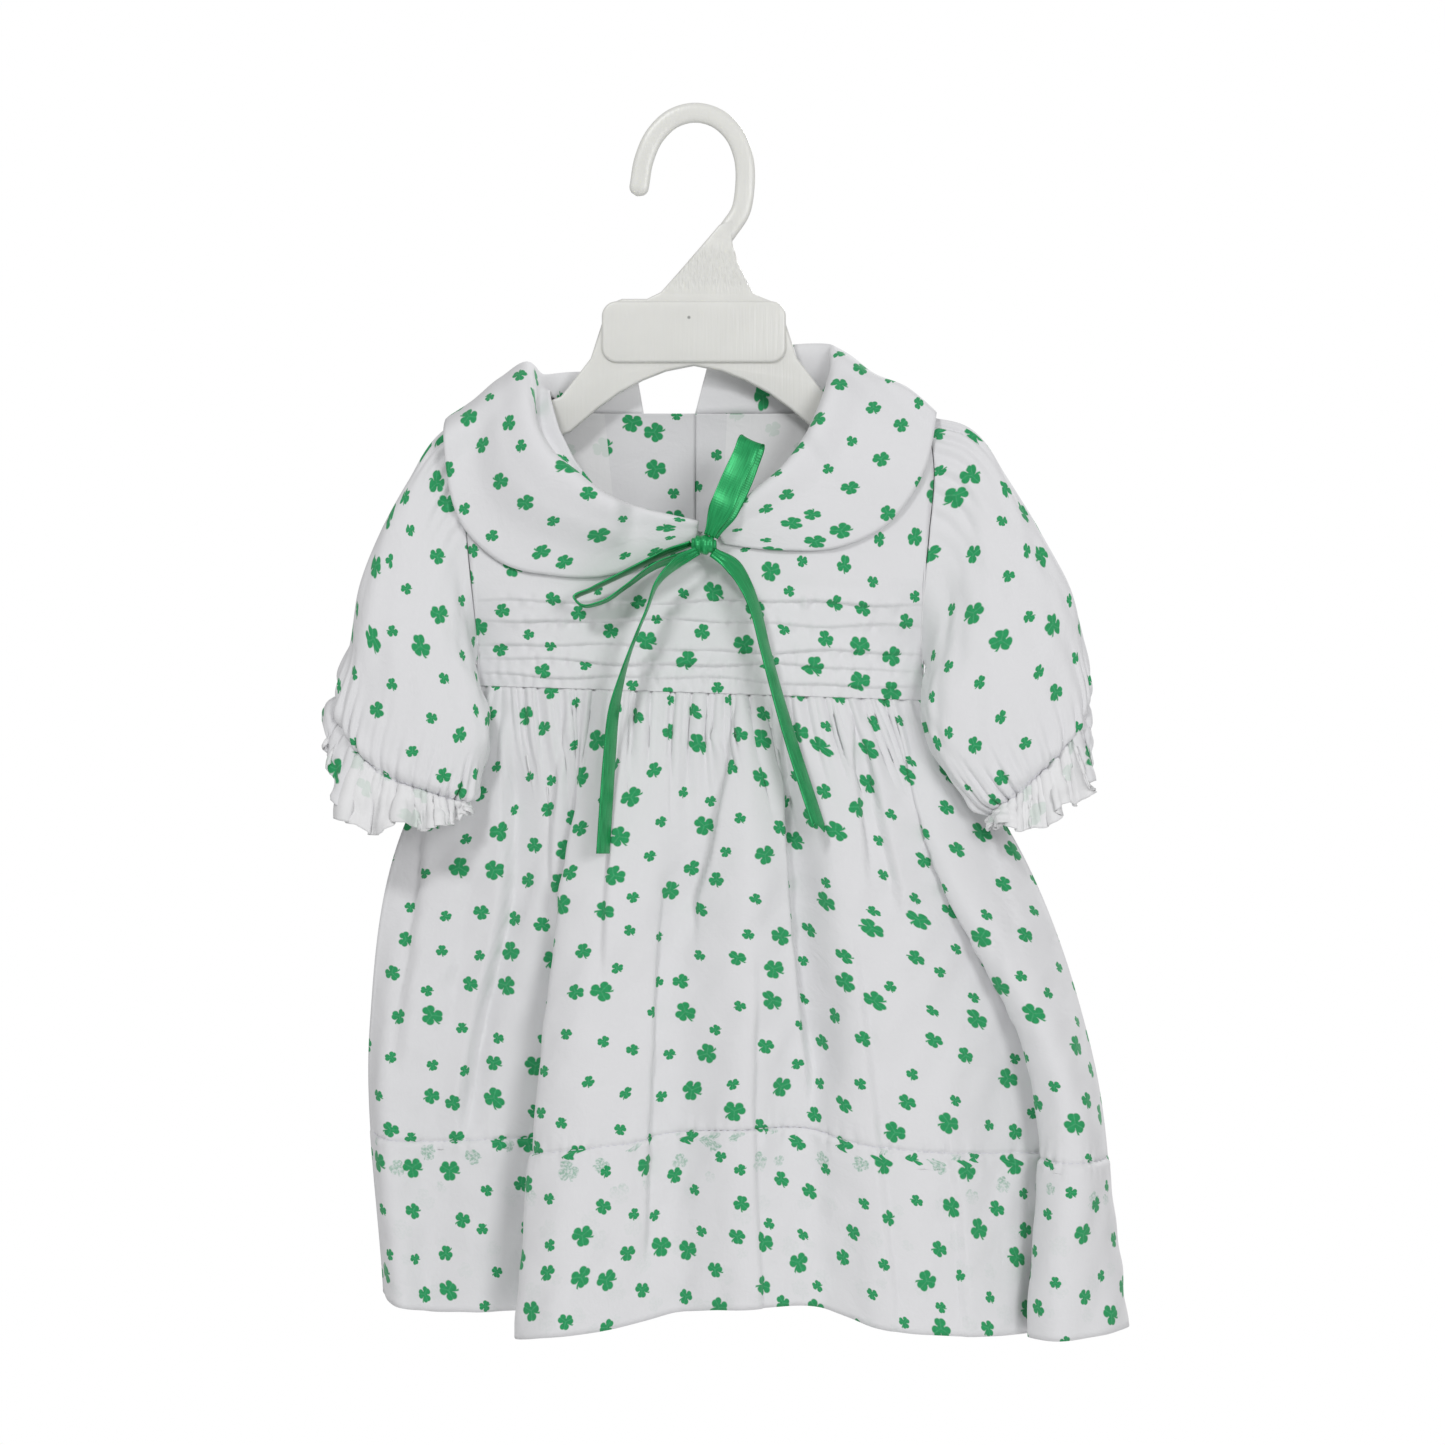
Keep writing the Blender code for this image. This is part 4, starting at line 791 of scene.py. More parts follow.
def skirtPanel(folds, full, gathers, columns, seed):
    side = math.copysign(1.0, full)
    share = np.linspace(0, 1, columns + 1)
    firstX, lastX = folds[0][0], folds[-1][0]
    waistShare = np.array([(fold[0] - firstX) / (lastX - firstX) for fold in folds])
    hemRun = runLength(np.array([fold[3][:2] for fold in folds], float))
    nearHem = np.linspace(-0.012, skirt["hemDip"] + 0.012, 26) + skirt["hemLine"]
    down = np.unique(np.concatenate([
        np.linspace(0, 0.2, 34), np.linspace(0.2, 1.0, skirt["rows"] - 34), nearHem]))
    rows = []
    for level in down:
        keys = mix(waistShare, hemRun / hemRun[-1], ramp(0.0, 0.7, level))
        places = []
        for fold in folds:
            waistY = side * float(bodyDepth(fold[0], waistZ(fold[0]), abs(full)))
            waistY = 0.0 if fold in (leftSeam, rightSeam) else waistY
            passes = [(fold[0], waistY), fold[1], fold[2], fold[3][:2]]
            x, y = smoothThrough(skirt["levels"], passes, level)
            places.append((x, y, mix(waistZ(fold[0]) - 0.05, fold[3][2], level)))
        row = smoothThrough(keys, np.array(places, float), share)
        row[:, 1] += side * gatherWave(share, level, gathers)
        rows.append(row)
    grid = np.array(rows)
    run = np.linalg.norm(np.diff(grid, axis=1), axis=2).cumsum(axis=1)
    u = np.concatenate([np.zeros((len(grid), 1)), run], axis=1)
    below = down[:, None]
    v = below * skirt["length"]
    soft = skirt["softWave"] * ramp(0.08, 0.4, below) * wander(u, v * 0.35, seed, 38.0, 95.0)
    crumple = skirt["crumple"] * ramp(0.05, 0.3, below) * wander(u, v * 0.6, seed + 1, 9.0, 22.0)
    fromHem = (below - hemLevel(share)[None, :]) * skirt["length"]
    pucker = 0.5 * bell(fromHem, 5.0) * wander(u, v * 0.2, seed + 2, 3.0, 7.0) - 0.75 * bell(fromHem, 1.2)
    layered = skirt["hemStep"] * ramp(0.0, 2.0, fromHem)
    edges = (ramp(0.0, 0.02, share) * ramp(1.0, 0.98, share))[None, :]
    folded = creaseRelief(grid[..., 0], grid[..., 2]) if full < 0 else 0.0
    grid = lifted(grid, (soft + crumple + folded + pucker + layered) * edges, flip=full > 0)
    grid[:, [0, -1], 1] += side * body["seamStep"]
    return grid, down


def makeSkirtPanel(name, node, folds, full, gathers, columns, seed):
    grid, down = skirtPanel(folds, full, gathers, columns, seed)
    piece = sewn(
        name, node, grid, flip=full > 0)
    band = piece.data.attributes.new("hemBand", "FLOAT", "POINT")
    share = np.linspace(0, 1, grid.shape[1])
    level = (down[:, None] - hemLevel(share)[None, :]).ravel()
    shown = ramp(0.0, 0.01, level) * (1.0 - 0.9 * ramp(0.035, 0.08, level))
    band.data.foreach_set("value", shown.astype(np.float32))
    piece.modifiers["wall"].thickness = skirt["hemWall"] * mm
    thinWall(piece, "turned-up hem", level > 0.0, skirt["singleShare"])
    return grid, down


frontSkirt, frontDown = makeSkirtPanel(
    "frontSkirt", "skirt_front", frontFolds, -body["frontDepth"], skirt["frontGathers"],
    skirt["frontColumns"], 70
)
backSkirt, backDown = makeSkirtPanel(
    "backSkirt", "skirt_back", backFolds, body["backDepth"], skirt["backGathers"], skirt["backColumns"], 80
)
print("skirt made")

# puffed sleeves with an elastic cuff and a ruffle

sleeve = {
    "armholeGap": 0.5,
    "underarmDepth": 1.8,
    "squareness": 0.68,
    "tuckedIn": 2.4,  # how far the under side of the sleeve closes in on the body
    "droop": (15.0, 9.0),  # how much lower the front of each cuff hangs than its ends
    "spread": (8.5, 5.0),  # how far each frill stands out at its outer end
    "pinch": 1.3,
    "forward": 2.2,  # how far the under side of the sleeve comes forward
    "halfGirth": 110.0,
    "headGathers": (30, 0.9),  # number and depth
    "cuffGathers": (31, 1.0),
    "frillLengths": (7.0, 2.5, 14.0, 7.0),  # all round; more at the outer end, in front and behind
    "frillWaves": 8,
    "frillDepth": 2.9,
    "printedEnd": 0.11,  # half of the turn over which the frill shows its print
    "stitchLift": 0.5,
    "rows": 110,
    "frillRows": 30,
    "columns": 256,
}
# sections from the armhole to the elastic: outer x, z; inner x, z; front and back depth; outer and inner y
rightSleeve = [
    ((117.6, -131.5), (102.9, -236.5), 11, 9, 0, -2), ((135.0, -151.8), (102.4, -245.5), 13, 10, -1, -8),
    ((149.0, -175.8), (101.0, -254.6), 15, 9, -3, -14), ((160.5, -198.0), (103.6, -264.5), 16, 10, -6, -17),
    ((167.6, -221.0), (109.0, -277.0), 16, 11, -9, -18), ((169.4, -237.5), (118.0, -288.8), 14, 11, -12, -19),
    ((162.4, -246.0), (128.2, -296.6), 11, 9, -14, -20),
]
leftSleeve = [
    ((-107.5, -135.0), (-93.4, -236.5), 11, 9, 0, -2), ((-120.4, -154.0), (-92.6, -245.5), 13, 10, -1, -8),
    ((-131.2, -176.5), (-88.6, -254.6), 15, 10, -3, -13),
    ((-140.0, -198.2), (-87.0, -265.0), 16, 10, -6, -17),
    ((-145.0, -221.0), (-88.2, -277.5), 16, 11, -9, -18),
    ((-148.5, -237.0), (-90.8, -287.0), 14, 11, -12, -19),
    ((-144.3, -246.2), (-94.3, -291.6), 11, 9, -14, -20),
]


def armholeRing(side, angle):
    edge = 0 if side < 0 else 1
    top = float(shoulderZ(float(sideX(np.float64(sides[0, 0]))[edge])))
    bottom = body["underarmZ"]
    z = (top + bottom) / 2 + (top - bottom) / 2 * np.cos(angle)
    x = sideX(z)[edge]
    front = np.sin(angle) > 0
    full = np.where(front, body["frontDepth"], body["backDepth"])
    depth = np.maximum(bodyDepth(x, z, full), sleeve["underarmDepth"])
    depth = depth * np.minimum(np.abs(np.sin(angle)) / 0.06, 1.0)
    return np.stack([x + side * sleeve["armholeGap"], np.where(front, -depth, depth), z], axis=1)


def sleeveGrid(side, sections, seed):
    # a tube through its sections; the relief adds head gathers, drape and cuff gathers,
    # then the frill follows
    angle = np.linspace(-math.pi, math.pi, sleeve["columns"], endpoint=False)
    rings = [armholeRing(side, angle)]
    for outer, inner, front, back, outerY, innerY in sections:
        top, low = (
            np.array([outer[0], outerY, outer[1]], float), np.array([inner[0], innerY, inner[1]], float))
        squared = squarer(np.sin(angle), sleeve["squareness"])
        deep = np.where(squared > 0, front, back) * squared
        ring = (top + low) / 2 + np.cos(angle)[:, None] * (top - low) / 2
        ring[:, 1] -= deep
        rings.append(ring)
    rings = np.array(rings)
    place = rowPlaces(rings)
    down = np.linspace(0, 1, sleeve["rows"])
    grid = smoothThrough(place / place[-1], rings, down)
    s, a = down[:, None], angle[None, :]
    around = sleeve["halfGirth"] * a / math.pi
    number = 0 if side < 0 else 1
    front, back = np.maximum(np.sin(a), 0.0), np.maximum(-np.sin(a), 0.0)
    bow = front**0.75 * (1.0 + 0.8 * np.cos(a))
    ahead = unit(rings[-1].mean(axis=0) - rings[-3].mean(axis=0))
    grid = grid + ahead * (sleeve["droop"][number] * ramp(0.5, 1.0, s) * (bow - 0.35 * back))[..., None]
    inner = ramp(0.3, 1.0, -np.cos(a)) * ramp(0.03, 0.16, s) * ramp(0.86, 0.58, s)
    grid[..., 0] -= side * sleeve["tuckedIn"] * inner
    grid[..., 1] -= sleeve["forward"] * inner
    gathers, depth = sleeve["headGathers"]
    head = depth * ramp(0.0, 0.02, s) * (1.0 - ramp(0.05, 0.28, s)) * ramp(-0.2, 0.5, np.cos(a))
    relief = head * np.cos(gathers * a + 0.8 * np.sin(5 * a) + seed)
    puffed = ramp(0.03, 0.22, s) * (1.0 - ramp(0.8, 1.0, s))
    drape = (1.2 * wander(around, s * 60.0, seed, 34.0, 80.0)
             + 0.4 * wander(around, s * 70.0, seed + 1, 10.0, 24.0))
    relief = relief + puffed * drape
    # uneven gathers run up from the elastic, and the cloth puffs out over it
    uneven = 0.7 + 0.3 * np.sin(7 * a + seed) + 0.25 * np.sin(3 * a)
    gathers, depth = sleeve["cuffGathers"]
    gathers = (np.cos(gathers * a + 1.3 * np.sin(4 * a + seed)) * uneven
               + 0.4 * np.cos(53 * a + 2.0 * np.sin(3 * a)))
    relief = relief + depth * ramp(0.74 + 0.05 * np.sin(9 * a), 0.97, s) * gathers
    relief = relief + 1.6 * bell(s - 0.945, 0.035) * (1.0 + 0.5 * np.sin(11 * a + seed))
    pinch = sleeve["pinch"] * (0.75 + 0.45 * np.sin(6 * a + seed))
    relief = relief - pinch * ramp(0.972, 1.0, s)
    grid = lifted(grid, relief, flip=side > 0, closed=True)
    # frill: it springs out from the elastic, falls in loose waves and is longest at the front
    edge = grid[-1]
    t = np.linspace(0, 1, sleeve["frillRows"] + 1)[1:, None]
    outwards = edge - edge.mean(axis=0)
    outwards = unit(outwards - (outwards @ ahead)[:, None] * ahead)
    falling = unit(ahead * 0.4 + np.array([0.0, 0.0, -0.75]))
    uneven = 1.0 + 0.12 * np.sin(5 * a + seed) + 0.08 * np.sin(11 * a + 2.0 * seed)
    least, outer, inFront, behind = sleeve["frillLengths"]
    fall = (least + outer * np.cos(a) + inFront * bow + behind * back) * uneven
    flare = sleeve["spread"][number] * np.maximum(np.cos(a), 0.0) ** 2 + 3.0 * front
    frill = edge + (fall * t)[..., None] * falling + (flare * (1.0 - (1.0 - t) ** 1.6))[..., None] * outwards
    frill[..., 1] -= 1.0 * (1.0 - np.cos(a)) * t
    waves = np.cos(sleeve["frillWaves"] * a + 1.1 * np.sin(2 * a + seed) + 0.9 * t)
    waves = waves + 0.3 * np.cos(19 * a + 1.5 * np.sin(5 * a) - 1.2 * t)
    depth = sleeve["frillDepth"] * ramp(0.0, 0.8, t) * (0.8 + 0.3 * np.sin(3 * a + seed))
    creased = 0.5 * ramp(0.0, 0.3, t) * wander(around, t * 26.0, seed + 9, 8.0, 18.0)
    tight = 0.7 * (1.0 - ramp(0.0, 0.5, t)) * gathers
    frill = lifted(
        frill, depth * waves + creased + tight + pinch * ramp(0.0, 0.12, t), flip=side > 0, closed=True)
    cuffRow = len(grid) - 1
    grid = np.concatenate([grid, frill])
    # flat, the cuff is a straight line and each thread keeps its length, which gives the sleeve its cap
    width = np.linalg.norm(np.diff(grid[sleeve["rows"] // 2], axis=0), axis=1).sum()
    lengths = np.concatenate([
        np.zeros((1, len(angle))), np.linalg.norm(np.diff(grid, axis=0), axis=2).cumsum(axis=0)])
    lengths -= lengths[cuffRow]
    turns = np.broadcast_to(np.append(angle, math.pi) * width / (2 * math.pi), (len(grid), len(angle) + 1))
    layout = np.stack([turns, -np.concatenate([lengths, lengths[:, :1]], axis=1)], axis=2)
    return grid, layout


def makeSleeve(name, node, side, sections, seed):
    grid, layout = sleeveGrid(side, sections, seed)
    piece = sewn(
        name, node, grid, flip=side > 0, closed=True, layout=layout)
    # the frill is turned so that mostly the wrong side shows, but for its outer end
    piece.data.materials.append(wrongSide)
    row, column = np.divmod(np.arange(len(piece.data.polygons)), sleeve["columns"])
    isTurned = (row >= sleeve["rows"]) & (np.abs(column / sleeve["columns"] - 0.5) > sleeve["printedEnd"])
    piece.data.polygons.foreach_set("material_index", isTurned.astype(np.int32))
    return grid


leftGrid = makeSleeve("leftSleeve", "sleeve_left", -1, leftSleeve, 3)
rightGrid = makeSleeve("rightSleeve", "sleeve_right", 1, rightSleeve, 5)
print("sleeves made")

# collar: two rounded halves that stand up at the neck, roll over and lie on the shoulders

collar = {
    "roll": 1.4,
    "bulge": 1.0,
    "parting": 1.5,
    "neckGap": 1.5,
    "clearance": 1.8,
    "wall": 1.25,
    "rows": 44,
    "columns": 170,
}
# place along the neck; top of the roll; x, z of the outer edge; facing in degrees; lift off the body
leftCollar = [
    (0.0, (4.0, -20.6, -173.2), (3.0, -181.0), 90, 2.3),
    (0.1, (-9.0, -20.7, -170.4), (-9.5, -187.0), 90, 2.0),
    (0.205, (-24, -20.7, -166.6), (-24.0, -193.0), 90, 1.8),
    (0.3, (-37.5, -20.6, -160.5), (-42.0, -196.5), 90, 1.8),
    (0.38, (-48.0, -20.3, -152.0), (-62.0, -195.0), 90, 1.9),
    (0.475, (-58.0, -19.3, -143.5), (-81.0, -189.5), 90, 2.2),
    (0.56, (-64.5, -16.0, -132.5), (-97.0, -174.0), 80, 3.2),
    (0.65, (-66.5, -9.0, -120.0), (-103.5, -152.0), 55, 3.6),
    (0.724, (-66.0, 0.0, -111.5), (-105.0, -133.5), 0, 2.6),
    (0.8, (-58.0, 8.0, -108.5), (-100.5, -150.0), -60, 2.8),
    (0.87, (-46.0, 11.5, -107.5), (-84.0, -170.0), -90, 2.2),
    (0.94, (-34.0, 12.6, -108.5), (-55.0, -179.0), -90, 1.9),
    (1.0, (-22.5, 12.8, -111.5), (-24.0, -168.0), -90, 1.9),
]
rightCollar = [
    (0.0, (10.0, -20.6, -174.4), (14.5, -182.0), 90, 2.3),
    (0.08, (17.5, -20.7, -168.6), (27.0, -184.0), 90, 2.0),
    (0.19, (29.0, -20.7, -158.8), (44.0, -185.0), 90, 1.8),
    (0.284, (40.0, -20.3, -149.3), (62.0, -184.0), 90, 1.9),
    (0.36, (47.5, -18.6, -139.5), (78.5, -177.5), 90, 2.2),
    (0.45, (53.8, -14.8, -128.0), (92.0, -165.0), 80, 2.8),
    (0.515, (59.5, -9.5, -113.5), (101.0, -149.0), 60, 3.4),
    (0.577, (63.0, -2.5, -101.0), (104.5, -135.0), 25, 3.4),
    (0.625, (62.0, 4.5, -96.5), (105.5, -133.0), -15, 3.0),
    (0.69, (53.0, 9.8, -94.8), (99.5, -152.0), -70, 2.6),
    (0.78, (38.0, 12.0, -96.0), (80.0, -172.0), -90, 2.2),
    (0.877, (22.0, 12.8, -99.5), (50.0, -179.0), -90, 1.9),
    (1.0, (7.5, 12.8, -104.0), (11.0, -168.0), -90, 1.9),
]


def surfaceOf(sheets):
    # one surface from sheets of grid, closed, and whether its cells face outward as they are
    points, faces = [], []
    for grid, closed, facesOut in sheets:
        cells = quads(*grid.shape[:2], closed).reshape(-1, 4) + len(points)
        faces += (cells if facesOut else cells[:, ::-1]).tolist()
        points += grid.reshape(-1, 3).tolist()
    return BVHTree.FromPolygons(points, faces)


def standClear(rows, outs, surface, clearance):
    # moves a sheet's points outward until all its cells stand clear of a surface
    shares = (0.0, 0.25, 0.5, 0.75, 1.0)

    def isLow(sample):
        place, normal, _, distance = surface.find_nearest(Vector(sample))
        behind = (Vector(sample) - place).normalized().dot(normal) < -0.5
        return distance < clearance or (behind and distance < 8.0)

    for _ in range(120):
        low = set()
        for r in range(len(rows) - 1):
            for c in range(len(outs) - 1):
                for u in shares:
                    left, right = (
                        mix(rows[r, c], rows[r + 1, c], u), mix(rows[r, c + 1], rows[r + 1, c + 1], u))
                    if any(isLow(mix(left, right, v)) for v in shares):
                        low.update(((r, c), (r, c + 1), (r + 1, c), (r + 1, c + 1)))
                        break
        if not low:
            return
        for r, c in low:
            rows[r, c] += outs[c] * 0.15


def overBody(x, z, face, lift):
    full = body["frontDepth"] if face > 0 else body["backDepth"]
    depth = float(bodyDepth(x, z, full))
    fall = float(np.clip((shoulderZ(x) - z) / body["shoulderRound"], 0.0, 1.0))
    out = unit(np.array([
        0.0, math.sqrt(1.0 - (1.0 - fall) ** 2) / full, (1.0 - fall) / body["shoulderRound"]]))
    side = -1.0 if face > 0 else 1.0
    return np.array([x, side * (depth + out[1] * lift), min(z, float(shoulderZ(x))) + out[2] * lift])


def collarGrid(neck, table, under, standFacesOut):
    run = runLength(neck)
    keys = [row[0] for row in table]
    places = sorted(keys + [(a + b) / 2 for a, b in zip(keys, keys[1:])])
    rolls, edges, faces, lifts = (
        smoothThrough(keys, [row[k] for row in table], places) for k in (1, 2, 3, 4))
    faces = np.radians(faces)
    rows, outs = np.zeros((6, len(places), 3)), []
    for i, along in enumerate(places):
        length = mix(collar["parting"], run[-1], along)
        point = np.array([np.interp(length, run, neck[:, k]) for k in range(3)])
        edge = overBody(edges[i, 0], edges[i, 1], faces[i], lifts[i])
        away = unit(np.array([rolls[i, 0] / 60.0**2, rolls[i, 1] / 15.0**2, 0.0]))
        out = np.array([0.0, -math.sin(faces[i]), math.cos(faces[i])])
        outs.append(out)
        rows[0, i] = point + out * collar["neckGap"]
        rows[1, i], rows[2, i] = rolls[i] - away * collar["roll"], rolls[i] + away * collar["roll"]
        for row, share in ((3, 0.36), (4, 0.7)):
            rows[row, i] = (mix(rolls[i], edge, share) + away * collar["roll"] * (1.0 - share)
                            + out * collar["bulge"])
        rows[5, i] = edge
    stand, fall = rows[:2], rows[2:]
    standClear(stand, outs, surfaceOf(under), collar["neckGap"])
    standClear(fall, outs, surfaceOf(under + [(stand, False, standFacesOut)]), collar["clearance"])
    rows = np.concatenate([stand, fall])
    lengthwise = smoothThrough(
        places, rows.transpose(1, 0, 2), np.linspace(0, 1, collar["columns"])).transpose(1, 0, 2)
    down = rowPlaces(lengthwise)
    # seven rows for the stand, eight for the roll, the rest for the fall
    parts = ((0, 1, 8), (1, 2, 9), (2, -1, collar["rows"] - 15))
    at = [np.linspace(down[a], down[b], count)[:-1] for a, b, count in parts]
    return smoothThrough(down, lengthwise, np.concatenate(at + [down[-1:]]))


def makeCollarHalf(name, node, neck, table, under, facesOut):
    # under: what it has to clear; facesOut: its grid faces outward at the stand, as on the left half
    grid = collarGrid(np.array(neck), table, under, facesOut)
    piece = sewn(name, node, grid, flip=facesOut, thickness=collar["wall"])
    piece.modifiers["wall"].material_offset = 0
    rows, columns = grid.shape[:2]
    r, c = np.indices((rows, columns))
    inner = np.minimum(np.minimum(c, columns - 1 - c) / 2.0, (rows - 1 - r) / 1.5)
    thinWall(piece, "full thickness", np.sqrt(np.clip(inner, 0, 1)).ravel(), 0.45)


frontTop = frontGrid[0, ::8]
middle = int(frontTop[:, 2].argmin())
bodice = [(frontGrid[::2, ::4], False, True)]
bodice += [(grid[::2, ::4], False, False) for grid in (leftBackGrid, rightBackGrid)]
neckLine = [p for p in frontTop[: middle + 1] if p[0] >= -60.01][::-1]
neckLine += [p for p in leftBackGrid[0, ::8] if -59.9 < p[0] < body["rightPlacketX"]]
under = bodice + [(leftGrid[:60:3, ::4], True, True)]
makeCollarHalf("leftCollar", "collar_left", neckLine, leftCollar, under, True)
neckLine = [p for p in frontTop[middle:] if p[0] <= 63.51]
neckLine += [p for p in rightBackGrid[0, ::8] if 0.0 < p[0] < 63.4][::-1]
under = bodice + [(rightGrid[:60:3, ::4], True, False)]
makeCollarHalf("rightCollar", "collar_right", neckLine, rightCollar, under, False)
print("collar made")

# ribbon bow: one length of satin ribbon, tied

ribbon = {
    "width": 10.0,
    "wall": 0.7,
    "pinch": 0.45,  # width at the knot, as a share
    "pinchLength": 13.0,
    "crown": 0.45,  # how far the middle of the ribbon bows out
    "knotCentre": (6.0, -28.1, -183.0),
    "knotRadii": (5.4, 4.4, 4.2),
    "pleats": 0.35,
    "knotGap": 0.45,
    "across": 14,
}
# centre line x, y, z and the turn of the face in degrees: 0 faces the front, 90 is edge on
loopUp = [
    (9.4, -31.5, -178.0, 8), (14.6, -32.6, -165.0, 6), (19.2, -29.6, -154.0, 4), (23.4, -28.2, -145.0, 0),
    (26.0, -25.0, -138.6, 0), (27.2, -22.2, -138.6, 0), (24.2, -22.6, -149.0, 0), (18.2, -25.6, -163.5, 0),
    (11.2, -26.2, -178.2, 0),
]
loopSide = [
    (0.0, -26.1, -182.2, 70), (-12.0, -28.3, -187.4, 79),
    (-28.0, -29.2, -195.4, 82), (-41.0, -28.7, -201.8, 84),
    (-48.4, -28.7, -206.0, 84), (-46.0, -28.7, -208.4, 86),
    (-37.0, -28.7, -207.4, 86), (-27.0, -29.2, -201.0, 85),
    (-16.0, -29.3, -193.0, 80), (-0.6, -27.6, -187.0, 70),
]
tailLeft = [
    (2.4, -32.9, -187.0, 36), (-6.0, -35.7, -191.6, 68),
    (-13.4, -36.2, -199.5, 82), (-17.5, -36.2, -210.0, 88),
    (-22.5, -35.7, -222.0, 88), (-28.0, -34.7, -238.0, 80),
    (-31.5, -33.7, -252.0, 68), (-33.5, -33.7, -272.0, 63),
    (-35.0, -34.7, -294.0, 61), (-36.2, -35.7, -313.0, 61),
]
tailRight = [
    (10.4, -30.1, -186.6, 24), (18.2, -31.2, -192.0, 46),
    (24.0, -32.2, -201.0, 58), (28.2, -32.7, -212.0, 64),
    (31.4, -32.7, -225.0, 66), (35.6, -32.7, -241.0, 65),
    (41.0, -33.2, -260.0, 62), (47.6, -33.7, -281.0, 60),
    (54.5, -34.7, -302.0, 60),
]


def atKnot(point):
    away = unit(np.array(point, float) - ribbon["knotCentre"])
    reach = 1.0 / math.sqrt(((away / ribbon["knotRadii"]) ** 2).sum())
    return np.array(ribbon["knotCentre"]) + away * (reach + ribbon["knotGap"])


def makeStrip(name, node, table, points, loop=False, slant=0.0):
    # a ribbon strip that is drawn together where it leaves the knot, and where a loop comes back
    line = np.array([row[:3] for row in table], float)
    line[0] = atKnot(line[0])
    if loop:
        line[-1] = atKnot(line[-1])
    run = runLength(line)
    centres = evenPoints(line, points)
    along = np.linspace(0, run[-1], points)
    turns = np.radians(smoothThrough(run, [row[3] for row in table], along))
    ahead = np.gradient(centres, axis=0)
    if loop:
        # both layers of a loop lie side by side, so one direction serves from end to end
        ahead = np.tile(centres[points // 2] - centres[0], (points, 1))
    ahead = unit(ahead)
    flat = unit(np.stack([
        np.abs(ahead[:, 2]), np.zeros(points), -ahead[:, 0] * np.copysign(1.0, ahead[:, 2])], axis=1))
    side = flat * np.cos(turns)[:, None] + np.array([0.0, 1.0, 0.0]) * np.sin(turns)[:, None]
    fromKnot = np.minimum(along, run[-1] - along) if loop else along
    width = ribbon["width"] * mix(ribbon["pinch"], 1.0, ramp(0.0, ribbon["pinchLength"], fromKnot))
    offset = np.linspace(-0.5, 0.5, ribbon["across"])
    grid = centres[:, None] + side[:, None] * (width[:, None] * offset)[..., None]
    grid[-1, :, 2] -= 2 * slant * offset
    crown = ribbon["crown"] * (1.0 - (2 * offset) ** 2)[None, :] * np.ones((points, 1))
    nearKnot = 1.0 - ramp(0.0, 1.3 * ribbon["pinchLength"], fromKnot)
    pleats = ribbon["pleats"] * nearKnot[:, None] * np.cos(offset * 6 * math.pi)[None, :]
    grid = lifted(grid, crown + pleats)
    cut = np.stack(np.meshgrid(offset * ribbon["width"], -along), axis=2)
    strip = gridPiece(name, grid, cut)
    strip.data.materials.append(greenSatin)
    wall = strip.modifiers.new("wall", "SOLIDIFY")
    wall.thickness, wall.offset = ribbon["wall"] * mm, 0.0
    thinWall(strip, "woven edge", np.tile(np.abs(offset) == 0.5, points), 0.7)
    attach(strip, "root")
    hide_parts(node)


def makeKnot():
    # the ribbon wrapped once round the bow, drawn into lengthwise pleats
    rings, steps = 26, 48
    lat = np.linspace(0.0, math.pi, rings)[1:-1, None]
    lon = np.linspace(0, 2 * math.pi, steps, endpoint=False)[None, :]
    # the wrap runs over the front from top to bottom, so the poles lie left and right
    pleat = 1.0 + 0.09 * np.cos(11.0 * lat + 1.2 * np.sin(lon))
    pleat = pleat - 0.12 * bell(lat - 1.25, 0.16) * ramp(-0.3, 0.6, np.sin(lon))
    ball = np.stack(
        np.broadcast_arrays(-np.cos(lat), -np.sin(lat) * np.sin(lon), np.sin(lat) * np.cos(lon)), axis=2)
    radii = np.array(ribbon["knotRadii"]) * 0.97
    points = np.array(ribbon["knotCentre"]) + squarer(ball, 0.8) * radii * pleat[..., None]
    knot = bmesh.new()
    verts = joinRings(knot, points)
    for ring in (verts[0], verts[-1]):
        pole = knot.verts.new(sum((v.co for v in ring), Vector()) / steps)
        for i in range(steps):
            knot.faces.new((ring[i], ring[(i + 1) % steps], pole))
    uvLayer = knot.loops.layers.uv.new("flatCloth")
    for face in knot.faces:
        for loop in face.loops:
            away = loop.vert.co - Vector(ribbon["knotCentre"]) * mm
            loop[uvLayer].uv = (away.x, math.atan2(away.z, -away.y) * 0.0045)
    mesh = keptMesh(knot, bpy.data.meshes.new("ribbonKnot"))
    mesh.shade_smooth()
    mesh.materials.append(greenSatin)
    piece = placed("ribbonKnot", mesh)
    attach(piece, "root")
    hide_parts("ribbon_knot")


makeKnot()
makeStrip("upperLoop", "ribbon_loop_up", loopUp, 120, loop=True)
makeStrip("sideLoop", "ribbon_loop_side", loopSide, 120, loop=True)
makeStrip("leftTail", "ribbon_tail_left", tailLeft, 130)
makeStrip("rightTail", "ribbon_tail_right", tailRight, 130, slant=3.0)
print("ribbon made")

# stitches and other small repeats, laid along lines by one Geometry Nodes tree


